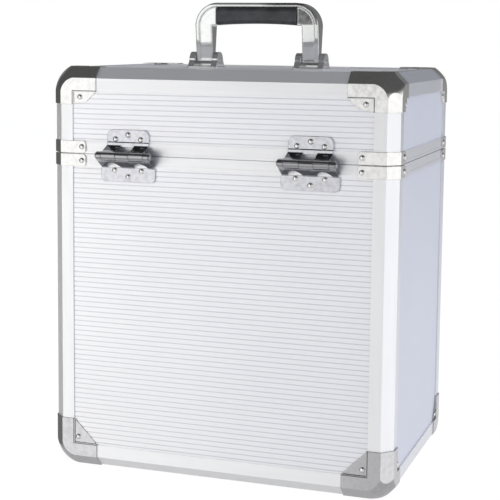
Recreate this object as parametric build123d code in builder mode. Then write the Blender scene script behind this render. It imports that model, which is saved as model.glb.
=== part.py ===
from build123d import *
from math import asin, atan2, cos, hypot, radians, sin, sqrt, tan
import os

# Record carrying case: panels held in bevelled edge extrusions, pressed corner caps,
# a lid that parts from the base on a tongue-and-groove rim, two stop hinges at the
# back, two draw latches at the front and a folding carrying handle on the lid.
#
# Millimetres, +Z up. The case stands on z = 0 and the hinge side faces -Y. The origin
# is the middle of the footprint, hinge barrels and opened latch levers included.
# Hinges and latches are drawn in side planes: first coordinate outward from the face
# of the case, second coordinate up from the parting line.

# ------------------------------------------------------------------ driving dimensions
# Shell, measured over the edge extrusions
case_width = 350.0
case_depth = 238.0
base_height = 317.0
lid_height = 84.5
seam_gap = 0.6

panel_thickness = 4.8
panel_play = 0.1

# Edge extrusions: two flanges joined by a flat bevel, with an inner angle behind them
edge_wall = 1.2
edge_bevel = 10.4
flange_width = 12.3
panel_set_back = 2.1
panel_lap = 7.5

# Rim extrusions along the parting line
rim_height = 12.0
rim_inner_height = 10.0
rim_relief = 0.35
rim_bead = 2.8
rim_end_gap = 0.2
groove_depth = 5.0
tongue_set_back = 3.0
tongue_thickness = 1.4
tongue_height = 3.5

# Corner caps: three legs along the edges, an ear on each face, a ball at the vertex
cap_sheet = 1.0
cap_leg_x = 48.0
cap_leg_y = 36.0
base_cap_leg_z = 48.0
lid_cap_leg_z = 36.0
cap_play = 0.05
base_ear_bow = 0.6
lid_ear_bow = 4.4
ball_centre = 26.0
ball_play = 0.18
snip_set_back = 2.4
lining_snip_ease = 0.6

# Seam wraps round the vertical edges
wrap_sheet = 1.0
wrap_leg_x = 37.0
wrap_leg_y = 29.0
wrap_height = 12.0
wrap_gap = 0.5
wrap_round = 3.0

# Foam lining
lining_gap = 0.2
wall_foam = 3.0
floor_foam = 6.0
lid_foam = 6.0
lining_rim_drop = 2.0

# Stop hinges
hinge_set_in = 82.5
hinge_sheet = 1.5
hinge_pin_out = 12.5
hinge_pin_radius = 2.0
hinge_ring_radius = 4.2
hinge_ring_clearance = 0.5
hinge_side_play = 0.4
hinge_lid_half = 21.9
hinge_lid_height = 12.8
hinge_lid_round = 6.0
hinge_base_half = 28.5
hinge_base_height = 14.3
hinge_base_round = 5.0
hinge_ramp_half = 27.5
hinge_ramp_rise = 0.6
hinge_step_height = 9.6
hinge_step_slope = 0.7
hinge_knuckle_half = 6.7
hinge_stop_reach = 5.5
hinge_stop_start = 15.0
hinge_stop_sweep = 25.0
hinge_head_radius = 3.1
hinge_head_length = 1.5
hinge_head_bevel = 0.6
hinge_pocket_radius = 8.0
pocket_wall = 1.2
running_play = 0.06
press_play = 0.02
pin_end_play = 0.05

# Rivets that hold the hinges and latches
rivet_sides = 12
rivet_radius = 1.6
rivet_play = 0.05
rivet_head_radius = 2.7
rivet_head_height = 1.3
rivet_head_flat = 1.7
rivet_tail_radius = 2.6
rivet_tail_height = 0.9

# Draw latches
latch_set_in = 82.5
latch_sheet = 1.5
latch_pivot_out = 5.0
latch_pivot_drop = 15.0
latch_pin_radius = 1.6
latch_crank = 6.0
latch_crank_angle = -25.0
claw_pin_radius = 1.5
latch_plate_half = 15.0
latch_plate_height = 27.7
latch_plate_round = 4.0
latch_eye_radius = 3.8
latch_side_play = 0.3
lever_front_out = 13.2
lever_top_drop = 13.5
lever_bottom_drop = 36.0
lever_heel_out = 12.0
lever_tab_drop = 4.0
lever_tab_out = 3.5
lever_notch_drop = 23.0
lever_notch_play = 0.9
latch_open_angle = 95.0
claw_half = 8.0
claw_eye_radius = 2.3
claw_tilt_share = 0.33
claw_clearance = 0.3
claw_hook_gap = 1.9
claw_hook_height = 2.2
claw_strap_gap = 0.8
claw_root_out = 9.4
claw_root_drop = 15.0
catch_half = 12.0
catch_lip_half = 10.0
catch_height = 26.0
catch_bottom = 0.7
catch_lip_level = 1.9
catch_lip_out = 6.6
catch_lip_slope = 20.0

# Carrying handle
handle_spacing = 114.5
handle_pivot_height = 7.0
handle_pin_radius = 2.0
handle_pin_end = 0.8
handle_arm_width = 17.5
handle_arm_half = 4.0
handle_bow_half = 9.0
handle_web_step = 1.0
handle_height = 59.0
handle_round = 24.0
handle_strap = 4.0
grip_half_width = 43.0
grip_height = 18.5
grip_half_depth = 10.5
grip_play = 0.2
grip_round = 5.0
grip_arch = 1.5
bracket_width = 31.0
bracket_flare = 2.0
bracket_ear = 6.0
bracket_ear_radius = 8.5
bracket_half_depth = 14.0
bracket_sheet = 2.0
bracket_round = 4.0

# ------------------------------------------------------------------ derived positions
half_width = case_width / 2
case_height = base_height + lid_height
hinge_spacing = case_width - 2 * hinge_set_in
latch_spacing = case_width - 2 * latch_set_in
half_gap = seam_gap / 2
bevel_turn = radians(22.5)
flange_reach = edge_bevel + flange_width
panel_stop = edge_bevel + panel_set_back
inner_lip = panel_stop + panel_lap
panel_face = edge_wall + panel_play
slot_inner = panel_face + panel_thickness + panel_play
inner_face = slot_inner + edge_wall
leaf_face = hinge_sheet - panel_face
rivet_length = hinge_sheet + panel_thickness

base_panel_top = -(half_gap + edge_wall + panel_play)
lid_panel_bottom = groove_depth + edge_wall + panel_play
ball_radius = hypot(ball_centre - edge_bevel, ball_centre) + ball_play
corner_snip = ball_centre + edge_bevel - snip_set_back
panel_snip = corner_snip - panel_face - 2 * (panel_stop + panel_play)

z_floor = cap_sheet
z_top = z_floor + case_height
z_seam = z_floor + base_height
z_pivot = z_top + handle_pivot_height

lever_tip = (
    lever_front_out + latch_sheet + lever_tab_out - latch_pivot_out,
    latch_pivot_drop - lever_bottom_drop - lever_tab_drop,
)
lever_tip_angle = atan2(lever_tip[1], lever_tip[0]) + radians(latch_open_angle)
latch_reach = latch_pivot_out + hypot(*lever_tip) * cos(lever_tip_angle)
hinge_reach = hinge_pin_out + hinge_stop_reach * cos(radians(hinge_stop_start))

y_back = -(case_depth + latch_reach - hinge_reach) / 2
y_front = y_back + case_depth
y_middle = (y_back + y_front) / 2

hinge_pin = (hinge_pin_out, 0)
latch_pivot = (latch_pivot_out, -latch_pivot_drop)
claw_pin = (
    latch_pivot_out + latch_crank * cos(radians(latch_crank_angle)),
    -latch_pivot_drop + latch_crank * sin(radians(latch_crank_angle)),
)

# Rivet places: across from the middle of the leaf, up from the parting line
hinge_base_rivets = [(-14.3, -15.0), (0, -21.0), (14.3, -15.0)]
hinge_lid_rivets = [(-13.3, 15.6), (0, 20.0), (13.3, 15.6)]
latch_base_rivets = [(-9.0, -35.0), (0, -21.0), (9.0, -35.0)]
latch_lid_rivets = [(-7.0, 20.0), (7.0, 20.0)]

across_width = Plane.YZ
across_depth = Plane(origin=(0, y_middle, 0), z_dir=(0, 1, 0))
across_height = Plane(origin=(0, 0, z_floor + case_height / 2))
along_x = Vector(1, 0, 0)
along_y = Vector(0, 1, 0)
along_z = Vector(0, 0, 1)
vertex = Vector(-half_width, y_back, z_floor)

os.makedirs("parts", exist_ok=True)


def save(piece, name):
    """Label a finished piece and write it to its own file."""
    piece.label = name
    export_step(piece, f"parts/{name}.step")


def mirrored(piece, plane):
    """A copy of a piece on the other side of a plane."""
    with BuildPart() as copy:
        mirror(piece, about=plane)
    return copy.part


def with_mirror(piece, plane):
    """A piece together with its copy on the other side of a plane."""
    with BuildPart() as pair:
        add(piece)
        mirror(piece, about=plane)
    return pair.part


def save_four(master, half, kind):
    """Write a left-back piece and its copies on the other three vertical edges."""
    for side, copy in (("left", master), ("right", mirrored(master, across_width))):
        save(copy, f"{half}_back_{side}_{kind}")
        save(mirrored(copy, across_depth), f"{half}_front_{side}_{kind}")


# ------------------------------------------------------------------ edge extrusions
def edge_section(plane):
    """Section of an edge extrusion, both coordinates inward from the sharp corner."""
    skin_corner = edge_bevel + edge_wall * tan(bevel_turn)
    outline = [
        (edge_bevel, 0), (flange_reach, 0), (flange_reach, edge_wall),
        (panel_stop, edge_wall), (panel_stop, slot_inner), (inner_lip, slot_inner),
        (inner_lip, inner_face), (inner_face, inner_face), (inner_face, inner_lip),
        (slot_inner, inner_lip), (slot_inner, panel_stop), (edge_wall, panel_stop),
        (edge_wall, flange_reach), (0, flange_reach), (0, edge_bevel),
    ]
    skin = [
        (edge_bevel, 0), (flange_reach, 0), (flange_reach, edge_wall),
        (skin_corner, edge_wall), (edge_wall, skin_corner), (edge_wall, flange_reach),
        (0, flange_reach), (0, edge_bevel),
    ]
    cell_far = panel_stop - edge_wall
    cell = [
        (inner_face, edge_wall), (cell_far, edge_wall),
        (cell_far, slot_inner), (inner_face, slot_inner),
    ]
    with BuildSketch(plane) as section:
        Polygon(*outline)
        Polygon(*cell, mode=Mode.SUBTRACT)
        Polygon(*[(v, u) for u, v in cell], mode=Mode.SUBTRACT)
        Polygon(*skin)
    return section.sketch


def snip(corner, inward, amount):
    """Cut the current piece back from a corner, by the sum of its three distances."""
    split(bisect_by=Plane(origin=corner + inward * (amount / 3), z_dir=inward),
          keep=Keep.TOP)


def mitre(corner, along, first, second):
    """Cut the current extrusion to meet its two neighbours at a corner of the case."""
    for across in (first, second):
        split(bisect_by=Plane(origin=corner, z_dir=along - across), keep=Keep.TOP)
    snip(corner, along + first + second, corner_snip)


def post(length):
    """Left-back vertical extrusion, mitred at the floor and square at the seam."""
    with BuildPart() as edge:
        extrude(edge_section(Plane(origin=vertex, x_dir=along_x, z_dir=along_z)), length)
        mitre(vertex, along_z, along_x, along_y)
    return edge.part


def rail(length, along, first, second):
    """Bottom extrusion along one face, mitred at both ends."""
    with BuildPart() as edge:
        extrude(edge_section(Plane(origin=vertex, x_dir=first, z_dir=along)), length)
        mitre(vertex, along, first, second)
        mitre(vertex + along * length, -along, first, second)
    return edge.part


save_four(post(base_height - half_gap), "base", "post")
lid_post = post(lid_height - half_gap)
save_four(mirrored(lid_post, across_height), "lid", "post")

back_rail = rail(case_width, along_x, along_y, along_z)
left_rail = rail(case_depth, along_y, along_z, along_x)
save(back_rail, "base_back_rail")
save(mirrored(back_rail, across_depth), "base_front_rail")
save(left_rail, "base_left_rail")
save(mirrored(left_rail, across_width), "base_right_rail")

lid_back_rail = mirrored(back_rail, across_height)
lid_left_rail = mirrored(left_rail, across_height)
save(lid_back_rail, "lid_back_rail")
save(mirrored(lid_back_rail, across_depth), "lid_front_rail")
save(lid_left_rail, "lid_left_rail")
save(mirrored(lid_left_rail, across_width), "lid_right_rail")


# ------------------------------------------------------------------ rims
def base_rim_section(plane):
    """Base rim: outer and inner walls, a bridge, and the tongue that seals the lid."""
    with BuildSketch(plane) as section:
        with Locations((0, -half_gap)):
            Rectangle(edge_wall, rim_height - half_gap, align=(Align.MIN, Align.MAX))
            Rectangle(inner_face, edge_wall, align=(Align.MIN, Align.MAX))
        with Locations((slot_inner, -half_gap)):
            Rectangle(edge_wall, rim_inner_height, align=(Align.MIN, Align.MAX))
        with Locations((tongue_set_back, -half_gap)):
            Rectangle(tongue_thickness, tongue_height, align=(Align.MIN, Align.MIN))
        with Locations((0, -rim_bead)):
            Rectangle(rim_relief, rim_height - 2 * rim_bead,
                      align=(Align.MIN, Align.MAX), mode=Mode.SUBTRACT)
    return section.sketch


def lid_rim_section(plane):
    """Lid rim: two walls and the web that closes the groove over the tongue."""
    with BuildSketch(plane) as section:
        with Locations((0, half_gap)):
            Rectangle(edge_wall, rim_height - half_gap, align=(Align.MIN, Align.MIN))
        with Locations((slot_inner, half_gap)):
            Rectangle(edge_wall, rim_inner_height, align=(Align.MIN, Align.MIN))
        with Locations((0, groove_depth)):
            Rectangle(inner_face, edge_wall, align=(Align.MIN, Align.MIN))
        with Locations((0, rim_bead)):
            Rectangle(rim_relief, rim_height - 2 * rim_bead,
                      align=(Align.MIN, Align.MIN), mode=Mode.SUBTRACT)
    return section.sketch


def rim(section):
    """Four straight rim lengths between the posts."""
    start = flange_reach + rim_end_gap
    back = Plane(origin=(start - half_width, y_back, z_seam), x_dir=along_y, z_dir=along_x)
    left = Plane(origin=(-half_width, y_front - start, z_seam), x_dir=along_x, z_dir=-along_y)
    with BuildPart() as lengths:
        extrude(section(back), case_width - 2 * start)
        extrude(section(left), case_depth - 2 * start)
        mirror(about=across_width)
        mirror(about=across_depth)
    return lengths.part


save(rim(base_rim_section), "base_rim")
save(rim(lid_rim_section), "lid_rim")


# ------------------------------------------------------------------ panels
def face_plane(front, depth):
    """Plane on the back or front face, facing out, at a depth behind the flanges."""
    if front:
        return Plane(origin=(0, y_front - depth, z_seam), x_dir=-along_x, z_dir=along_y)
    return Plane(origin=(0, y_back + depth, z_seam), x_dir=along_x, z_dir=-along_y)


def spread(points, spacing):
    """The points of one leaf, repeated at both hinge or latch places."""
    return [(x + side * spacing / 2, z) for side in (-1, 1) for x, z in points]


def rivet_holes(points, mode=Mode.SUBTRACT):
    """Holes for the shanks of the rivets, with as many sides as they have."""
    with Locations(*points):
        RegularPolygon(rivet_radius + rivet_play, rivet_sides, mode=mode)


def wall_panel(front, seam_edge, far_edge, holes):
    """Back or front panel, snipped at its far corners and drilled for the rivets."""
    with BuildPart() as sheet:
        with BuildSketch(face_plane(front, panel_face)) as outline:
            with Locations((0, (seam_edge + far_edge) / 2)):
                Rectangle(case_width - 2 * (panel_stop + panel_play),
                          abs(far_edge - seam_edge))
            far = 0 if far_edge < seam_edge else -1
            chamfer(outline.vertices().group_by(Axis.Y)[far], panel_snip)
            rivet_holes(holes)
        extrude(amount=-panel_thickness)
    return sheet.part


def side_panel(seam_edge, far_edge):
    """Left panel, snipped at its far corners."""
    plane = Plane(origin=(panel_face - half_width, y_middle, z_seam),
                  x_dir=along_y, z_dir=along_x)
    with BuildPart() as sheet:
        with BuildSketch(plane) as outline:
            with Locations((0, (seam_edge + far_edge) / 2)):
                Rectangle(case_depth - 2 * (panel_stop + panel_play),
                          abs(far_edge - seam_edge))
            far = 0 if far_edge < seam_edge else -1
            chamfer(outline.vertices().group_by(Axis.Y)[far], panel_snip)
        extrude(amount=panel_thickness)
    return sheet.part


with BuildPart() as floor_panel:
    with BuildSketch(Plane(origin=(0, y_middle, z_floor + panel_face))) as floor_outline:
        Rectangle(case_width - 2 * (panel_stop + panel_play),
                  case_depth - 2 * (panel_stop + panel_play))
        chamfer(floor_outline.vertices(), panel_snip)
    extrude(amount=panel_thickness)
save(floor_panel.part, "base_floor_panel")
save(mirrored(floor_panel.part, across_height), "lid_top_panel")

base_bottom = panel_stop + panel_play - base_height
lid_top = lid_height - panel_stop - panel_play
base_side = side_panel(base_panel_top, base_bottom)
lid_side = side_panel(lid_panel_bottom, lid_top)
save(base_side, "base_left_panel")
save(mirrored(base_side, across_width), "base_right_panel")
save(lid_side, "lid_left_panel")
save(mirrored(lid_side, across_width), "lid_right_panel")

base_back_holes = spread(hinge_base_rivets, hinge_spacing)
base_front_holes = spread(latch_base_rivets, latch_spacing)
lid_back_holes = spread(hinge_lid_rivets, hinge_spacing)
lid_front_holes = spread(latch_lid_rivets, latch_spacing)
save(wall_panel(False, base_panel_top, base_bottom, base_back_holes), "base_back_panel")
save(wall_panel(True, base_panel_top, base_bottom, base_front_holes), "base_front_panel")
save(wall_panel(False, lid_panel_bottom, lid_top, lid_back_holes), "lid_back_panel")
save(wall_panel(True, lid_panel_bottom, lid_top, lid_front_holes), "lid_front_panel")


# ------------------------------------------------------------------ corner caps
def corner_block(skin):
    """Solid behind the three faces of a case corner, moved out by a skin thickness.

    Its edges are bevelled like the extrusions.
    """
    start = vertex - Vector(skin, skin, skin)
    reach = cap_leg_x + base_cap_leg_z + lid_cap_leg_z
    slope = edge_bevel - skin * sqrt(2)
    with BuildPart() as block:
        with Locations(start):
            Box(reach, reach, reach, align=(Align.MIN, Align.MIN, Align.MIN))
        for pair in (along_x + along_y, along_y + along_z, along_z + along_x):
            bevel = Plane(origin=vertex + pair * (slope / 2), z_dir=pair)
            split(bisect_by=bevel, keep=Keep.TOP)
    return block.part


def outside_ball(skin):
    """What lies between the vertex and the ball that rounds it off."""
    with BuildPart() as rest:
        with Locations(vertex - Vector(skin, skin, skin)):
            Box(ball_centre + skin, ball_centre + skin, ball_centre + skin,
                align=(Align.MIN, Align.MIN, Align.MIN))
        with Locations(vertex + Vector(ball_centre, ball_centre, ball_centre)):
            Sphere(ball_radius + skin, mode=Mode.SUBTRACT)
    return rest.part


def cap_cavity():
    """Room in a cap for the mitred ends of the three extrusions."""
    inward = along_x + along_y + along_z
    with BuildPart() as cavity:
        add(corner_block(0))
        snip(vertex, inward, corner_snip - cap_play)
    return cavity.part


def cap_ear(plane, leg_u, leg_v, bow):
    """Ear on the panel in the angle of two legs, with the step down from the flanges.

    Its free edge is bent outward by the bow in its middle.
    """
    root = flange_reach + cap_play
    fold = root + cap_sheet
    chord = hypot(leg_u - root, leg_v - root)
    knee = ((leg_u + root) / 2 + bow * (leg_v - root) / chord,
            (leg_v + root) / 2 + bow * (leg_u - root) / chord)
    with BuildPart() as ear:
        with BuildSketch(plane.offset(panel_face - cap_sheet)):
            Polygon((root, root), (leg_u, root), knee, (root, leg_v))
        extrude(amount=cap_sheet)
        with BuildSketch(plane.offset(-cap_sheet)):
            Polygon((root, root), (leg_u, root), (leg_u, fold), (fold, fold),
                    (fold, leg_v), (root, leg_v))
        extrude(amount=cap_sheet + panel_face)
    return ear.part


def corner_cap(leg_z, bow):
    """Pressed cap on the left-back corner of the floor."""
    width = flange_reach + cap_play + 2 * cap_sheet
    legs_of_faces = (
        (Plane(origin=vertex, x_dir=along_x, z_dir=along_z), cap_leg_x, cap_leg_y),
        (Plane(origin=vertex, x_dir=along_y, z_dir=along_x), cap_leg_y, leg_z),
        (Plane(origin=vertex, x_dir=along_z, z_dir=along_y), leg_z, cap_leg_x),
    )
    outer = corner_block(cap_sheet)
    rounding = outside_ball(cap_sheet)
    cavity = cap_cavity()
    ears = [cap_ear(*face, bow) for face in legs_of_faces]
    with BuildPart() as cap:
        with Locations(vertex - Vector(cap_sheet, cap_sheet, cap_sheet)):
            for legs in ((cap_leg_x + cap_sheet, width, width),
                         (width, cap_leg_y + cap_sheet, width),
                         (width, width, leg_z + cap_sheet)):
                Box(*legs, align=(Align.MIN, Align.MIN, Align.MIN))
        add(outer, mode=Mode.INTERSECT)
        add(rounding, mode=Mode.SUBTRACT)
        add(cavity, mode=Mode.SUBTRACT)
        for ear in ears:
            add(ear)
    return cap.part


lid_cap = corner_cap(lid_cap_leg_z, lid_ear_bow)
save_four(corner_cap(base_cap_leg_z, base_ear_bow), "base", "corner_cap")
save_four(mirrored(lid_cap, across_height), "lid", "corner_cap")


# ------------------------------------------------------------------ seam wraps
def seam_wraps():
    """Base wraps round the four vertical edges, just under the parting line."""
    turn = edge_bevel - wrap_sheet * tan(bevel_turn)
    plane = Plane(origin=(-half_width, y_back, z_seam - wrap_gap), x_dir=along_x)
    with BuildPart() as wraps:
        with BuildSketch(plane):
            Polygon((wrap_leg_x, -wrap_sheet), (wrap_leg_x, 0), (edge_bevel, 0),
                    (0, edge_bevel), (0, wrap_leg_y), (-wrap_sheet, wrap_leg_y),
                    (-wrap_sheet, turn), (turn, -wrap_sheet))
        extrude(amount=-wrap_height)
        fillet(wraps.edges().filter_by(Axis.Y).group_by(Axis.X)[-1], wrap_round)
        fillet(wraps.edges().filter_by(Axis.X).group_by(Axis.Y)[-1], wrap_round)
        mirror(about=across_width)
        mirror(about=across_depth)
    return wraps.part


base_wraps = seam_wraps()
save(base_wraps, "base_seam_wraps")
save(mirrored(base_wraps, Plane(origin=(0, 0, z_seam))), "lid_seam_wraps")


# ------------------------------------------------------------------ foam lining
def lining(bottom, top, pad, pad_below):
    """Open foam tray that lines one half of the case, its pad below or above."""
    depth = inner_face + lining_gap
    width_out = case_width - 2 * depth
    depth_out = case_depth - 2 * depth
    level = bottom + pad if pad_below else bottom
    with BuildPart() as foam:
        with Locations((0, y_middle, bottom)):
            Box(width_out, depth_out, top - bottom,
                align=(Align.CENTER, Align.CENTER, Align.MIN))
        with Locations((0, y_middle, level)):
            Box(width_out - 2 * wall_foam, depth_out - 2 * wall_foam, top - bottom - pad,
                align=(Align.CENTER, Align.CENTER, Align.MIN), mode=Mode.SUBTRACT)
        upward = along_z if pad_below else -along_z
        floor_level = z_floor if pad_below else z_top
        for x_in in (-1, 1):
            for y_in, y_face in ((1, y_back), (-1, y_front)):
                corner = Vector(-x_in * half_width, y_face, floor_level)
                snip(corner, Vector(x_in, y_in, 0) + upward,
                     corner_snip + lining_snip_ease)
    return foam.part


lining_set_in = inner_face + lining_gap
save(lining(z_floor + lining_set_in, z_seam - lining_rim_drop, floor_foam, True),
     "base_lining")
save(lining(z_seam + lining_rim_drop, z_top - lining_set_in, lid_foam, False),
     "lid_lining")


# ------------------------------------------------------------------ rivets
def rivet(plane):
    """Rivet through the panel, its head on the leaf and its tail inside."""
    with BuildPart() as fastener:
        for radius, start, reach in ((rivet_radius, 0, -rivet_length),
                                     (rivet_tail_radius, -rivet_length, -rivet_tail_height)):
            with BuildSketch(plane.offset(start)):
                RegularPolygon(radius, rivet_sides)
            extrude(amount=reach)
        for radius, level in ((rivet_head_radius, 0), (rivet_head_flat, rivet_head_height)):
            with BuildSketch(plane.offset(level)):
                RegularPolygon(radius, rivet_sides)
        loft(ruled=True)
    return fastener.part


def rivets(front, points):
    """Rivets at points of one face."""
    face = face_plane(front, -leaf_face)
    with BuildPart() as group:
        for x, z in points:
            add(rivet(Plane(origin=face.from_local_coords((x, z, 0)), x_dir=face.x_dir,
                            z_dir=face.z_dir)))
    return group.part


def both_faces(back, front):
    """Rivets of the back face together with those of the front face."""
    with BuildPart() as group:
        add(rivets(False, back))
        add(rivets(True, front))
    return group.part


save(both_faces(base_back_holes, base_front_holes), "base_rivets")
save(both_faces(lid_back_holes, lid_front_holes), "lid_rivets")


# ------------------------------------------------------------------ hinges
def hinge_side(x):
    """Side plane of a hinge: outward from the back face, up from the parting line."""
    return Plane(origin=(x, y_back, z_seam), x_dir=-along_y, z_dir=-along_x)


def hinge_face(x, out):
    """Plane parallel to the back face, a distance outward from it."""
    return Plane(origin=(x, y_back - out, z_seam), x_dir=along_x, z_dir=-along_y)


def ramp(start, side):
    """Outline of a sheet that leaves the leaf at start and lands on the pin's ring.

    side is 1 where the ring lies to the left of the sheet and -1 where to its right.
    """
    run_out = hinge_pin[0] - start[0]
    run_up = hinge_pin[1] - start[1]
    distance = hypot(run_out, run_up)
    angle = atan2(run_up, run_out) - side * asin(hinge_ring_radius / distance)
    length = sqrt(distance**2 - hinge_ring_radius**2)
    touch = (start[0] + length * cos(angle), start[1] + length * sin(angle))
    behind = (touch[0] - side * hinge_sheet * sin(angle),
              touch[1] + side * hinge_sheet * cos(angle))
    root = (start[0], start[1] + side * hinge_sheet / cos(angle))
    return start, touch, behind, root


def bar(side, profile, middle, half, mode=Mode.ADD):
    """Extrude a closed profile along the hinge or latch pin, about a middle point."""
    with BuildSketch(side.offset(middle)) as outline:
        profile()
    extrude(outline.sketch, amount=half, both=True, mode=mode)


base_leaf_top = -(rim_height + panel_play)
lid_leaf_bottom = rim_height + panel_play
base_ramp = ramp((leaf_face, base_leaf_top - hinge_ramp_rise), 1)
lid_ramp = ramp((hinge_sheet, hinge_step_height), -1)
pocket_rivets = [point for point in hinge_base_rivets if point[0] != 0]
lid_ring_start = hinge_knuckle_half + hinge_side_play
lid_ring_half = (hinge_lid_half - lid_ring_start) / 2
lid_ring_middle = lid_ring_start + lid_ring_half
end_ring_start = hinge_lid_half + hinge_side_play
end_ring_half = (hinge_ramp_half - end_ring_start) / 2
end_ring_middle = end_ring_start + end_ring_half
relief_half = (end_ring_start - hinge_knuckle_half) / 2
relief_middle = hinge_knuckle_half + relief_half


def ring():
    """Ring round the hinge pin."""
    with Locations(hinge_pin):
        Circle(hinge_ring_radius)


def ring_clearance():
    """Room for the other leaf's ring to turn."""
    with Locations(hinge_pin):
        Circle(hinge_ring_radius + hinge_ring_clearance)


def pocket_walls(x):
    """Walls under the ramp round the outer rivets of a base leaf."""
    with BuildPart() as walls:
        with BuildSketch(hinge_face(x, leaf_face)):
            with Locations(*pocket_rivets):
                Circle(hinge_pocket_radius + pocket_wall)
        extrude(amount=hinge_pin_out)
        with BuildSketch(hinge_side(x)):
            Polygon(base_ramp[0], base_ramp[1], (leaf_face, base_ramp[1][1]))
        extrude(amount=hinge_ramp_half, both=True, mode=Mode.INTERSECT)
    return walls.part


def hinge_base_leaf(x):
    """Leaf on the base: riveted plate, ramp out to the pin, a middle and two end rings."""
    side = hinge_side(x)
    walls = pocket_walls(x)
    with BuildPart() as leaf:
        with BuildSketch(hinge_face(x, -panel_face)) as plate:
            with Locations((0, base_leaf_top)):
                Rectangle(2 * hinge_base_half, hinge_base_height,
                          align=(Align.CENTER, Align.MAX))
            fillet(plate.vertices().group_by(Axis.Y)[0], hinge_base_round)
            rivet_holes(hinge_base_rivets)
        extrude(amount=hinge_sheet)
        bar(side, lambda: Polygon(*base_ramp), 0, hinge_ramp_half)
        for end in (-1, 1):
            bar(side, lambda: Polygon(base_ramp[0], base_ramp[1], base_ramp[3]),
                end * (hinge_ramp_half - hinge_sheet / 2), hinge_sheet / 2)
        add(walls)
        with BuildSketch(hinge_face(x, leaf_face)):
            with Locations(*pocket_rivets):
                Circle(hinge_pocket_radius)
        extrude(amount=hinge_pin_out, mode=Mode.SUBTRACT)
        bar(side, ring, 0, hinge_knuckle_half)
        for end in (-1, 1):
            bar(side, ring_clearance, end * relief_middle, relief_half, Mode.SUBTRACT)
            bar(side, ring, end * end_ring_middle, end_ring_half)
        with BuildSketch(side):
            with Locations(hinge_pin):
                Circle(hinge_pin_radius + press_play)
        extrude(amount=hinge_base_half, both=True, mode=Mode.SUBTRACT)
    return leaf.part


def hinge_lid_leaf(x):
    """Leaf on the lid: plate stepped over the rim, two ramps, their rings and stops."""
    side = hinge_side(x)
    stop_near = radians(hinge_stop_start)
    stop_far = radians(hinge_stop_start + hinge_stop_sweep)
    stop = [hinge_pin]
    for angle in (stop_near, stop_far):
        stop.append((hinge_pin[0] + hinge_stop_reach * cos(angle),
                     hinge_pin[1] + hinge_stop_reach * sin(angle)))
    step_top = lid_leaf_bottom + panel_play
    step = [
        (0, lid_ramp[3][1]), lid_ramp[3], (hinge_sheet, step_top),
        (leaf_face, step_top + hinge_step_slope), (-panel_face, step_top + hinge_step_slope),
        (-panel_face, lid_leaf_bottom), (0, lid_leaf_bottom),
    ]
    with BuildPart() as leaf:
        with BuildSketch(hinge_face(x, -panel_face)) as plate:
            with Locations((0, lid_leaf_bottom)):
                Rectangle(2 * hinge_lid_half, hinge_lid_height,
                          align=(Align.CENTER, Align.MIN))
            fillet(plate.vertices().group_by(Axis.Y)[-1], hinge_lid_round)
            rivet_holes(hinge_lid_rivets)
        extrude(amount=hinge_sheet)
        bar(side, lambda: Polygon(*step), 0, hinge_lid_half)
        for end in (-1, 1):
            for profile in (lambda: Polygon(*lid_ramp), ring, lambda: Polygon(*stop)):
                bar(side, profile, end * lid_ring_middle, lid_ring_half)
        with BuildSketch(side):
            with Locations(hinge_pin):
                Circle(hinge_pin_radius + running_play)
        extrude(amount=hinge_base_half, both=True, mode=Mode.SUBTRACT)
    return leaf.part


def headed_pin(side, centre, radius, half, head_radius, head_length, head_bevel):
    """Pin across a hinge or bracket, with a bevelled head at each end."""
    with BuildPart() as pin:
        with BuildSketch(side):
            with Locations(centre):
                Circle(radius)
        extrude(amount=half, both=True)
        for end in (-1, 1):
            with BuildSketch(side.offset(end * half)):
                with Locations(centre):
                    Circle(head_radius)
            extrude(amount=end * head_length)
        ends = pin.faces().filter_by(GeomType.PLANE).sort_by(Axis.X)
        chamfer(ends[0].edges() + ends[-1].edges(), head_bevel)
    return pin.part


left_hinge_x = -hinge_spacing / 2
left_base_leaf = hinge_base_leaf(left_hinge_x)
left_lid_leaf = hinge_lid_leaf(left_hinge_x)
save(left_base_leaf, "hinge_base_leaf_left")
save(mirrored(left_base_leaf, across_width), "hinge_base_leaf_right")
save(left_lid_leaf, "hinge_lid_leaf_left")
save(mirrored(left_lid_leaf, across_width), "hinge_lid_leaf_right")
left_hinge_pin = headed_pin(
    hinge_side(left_hinge_x), hinge_pin, hinge_pin_radius,
    hinge_ramp_half + pin_end_play, hinge_head_radius, hinge_head_length, hinge_head_bevel)
save(with_mirror(left_hinge_pin, across_width), "hinge_pins")


# ------------------------------------------------------------------ draw latches
def latch_side(x):
    """Side plane of a latch: outward from the front face, up from the parting line."""
    return Plane(origin=(x, y_front, z_seam), x_dir=along_y, z_dir=along_x)


lever_wall_middle = latch_plate_half - latch_sheet - latch_side_play - latch_sheet / 2
lever_half = lever_wall_middle + latch_sheet / 2
latch_ear_middle = latch_plate_half - latch_sheet / 2
lever_back = lever_front_out + latch_sheet


def pivot_eye():
    """Eye round the lever's pivot."""
    with Locations(latch_pivot):
        Circle(latch_eye_radius)


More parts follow.
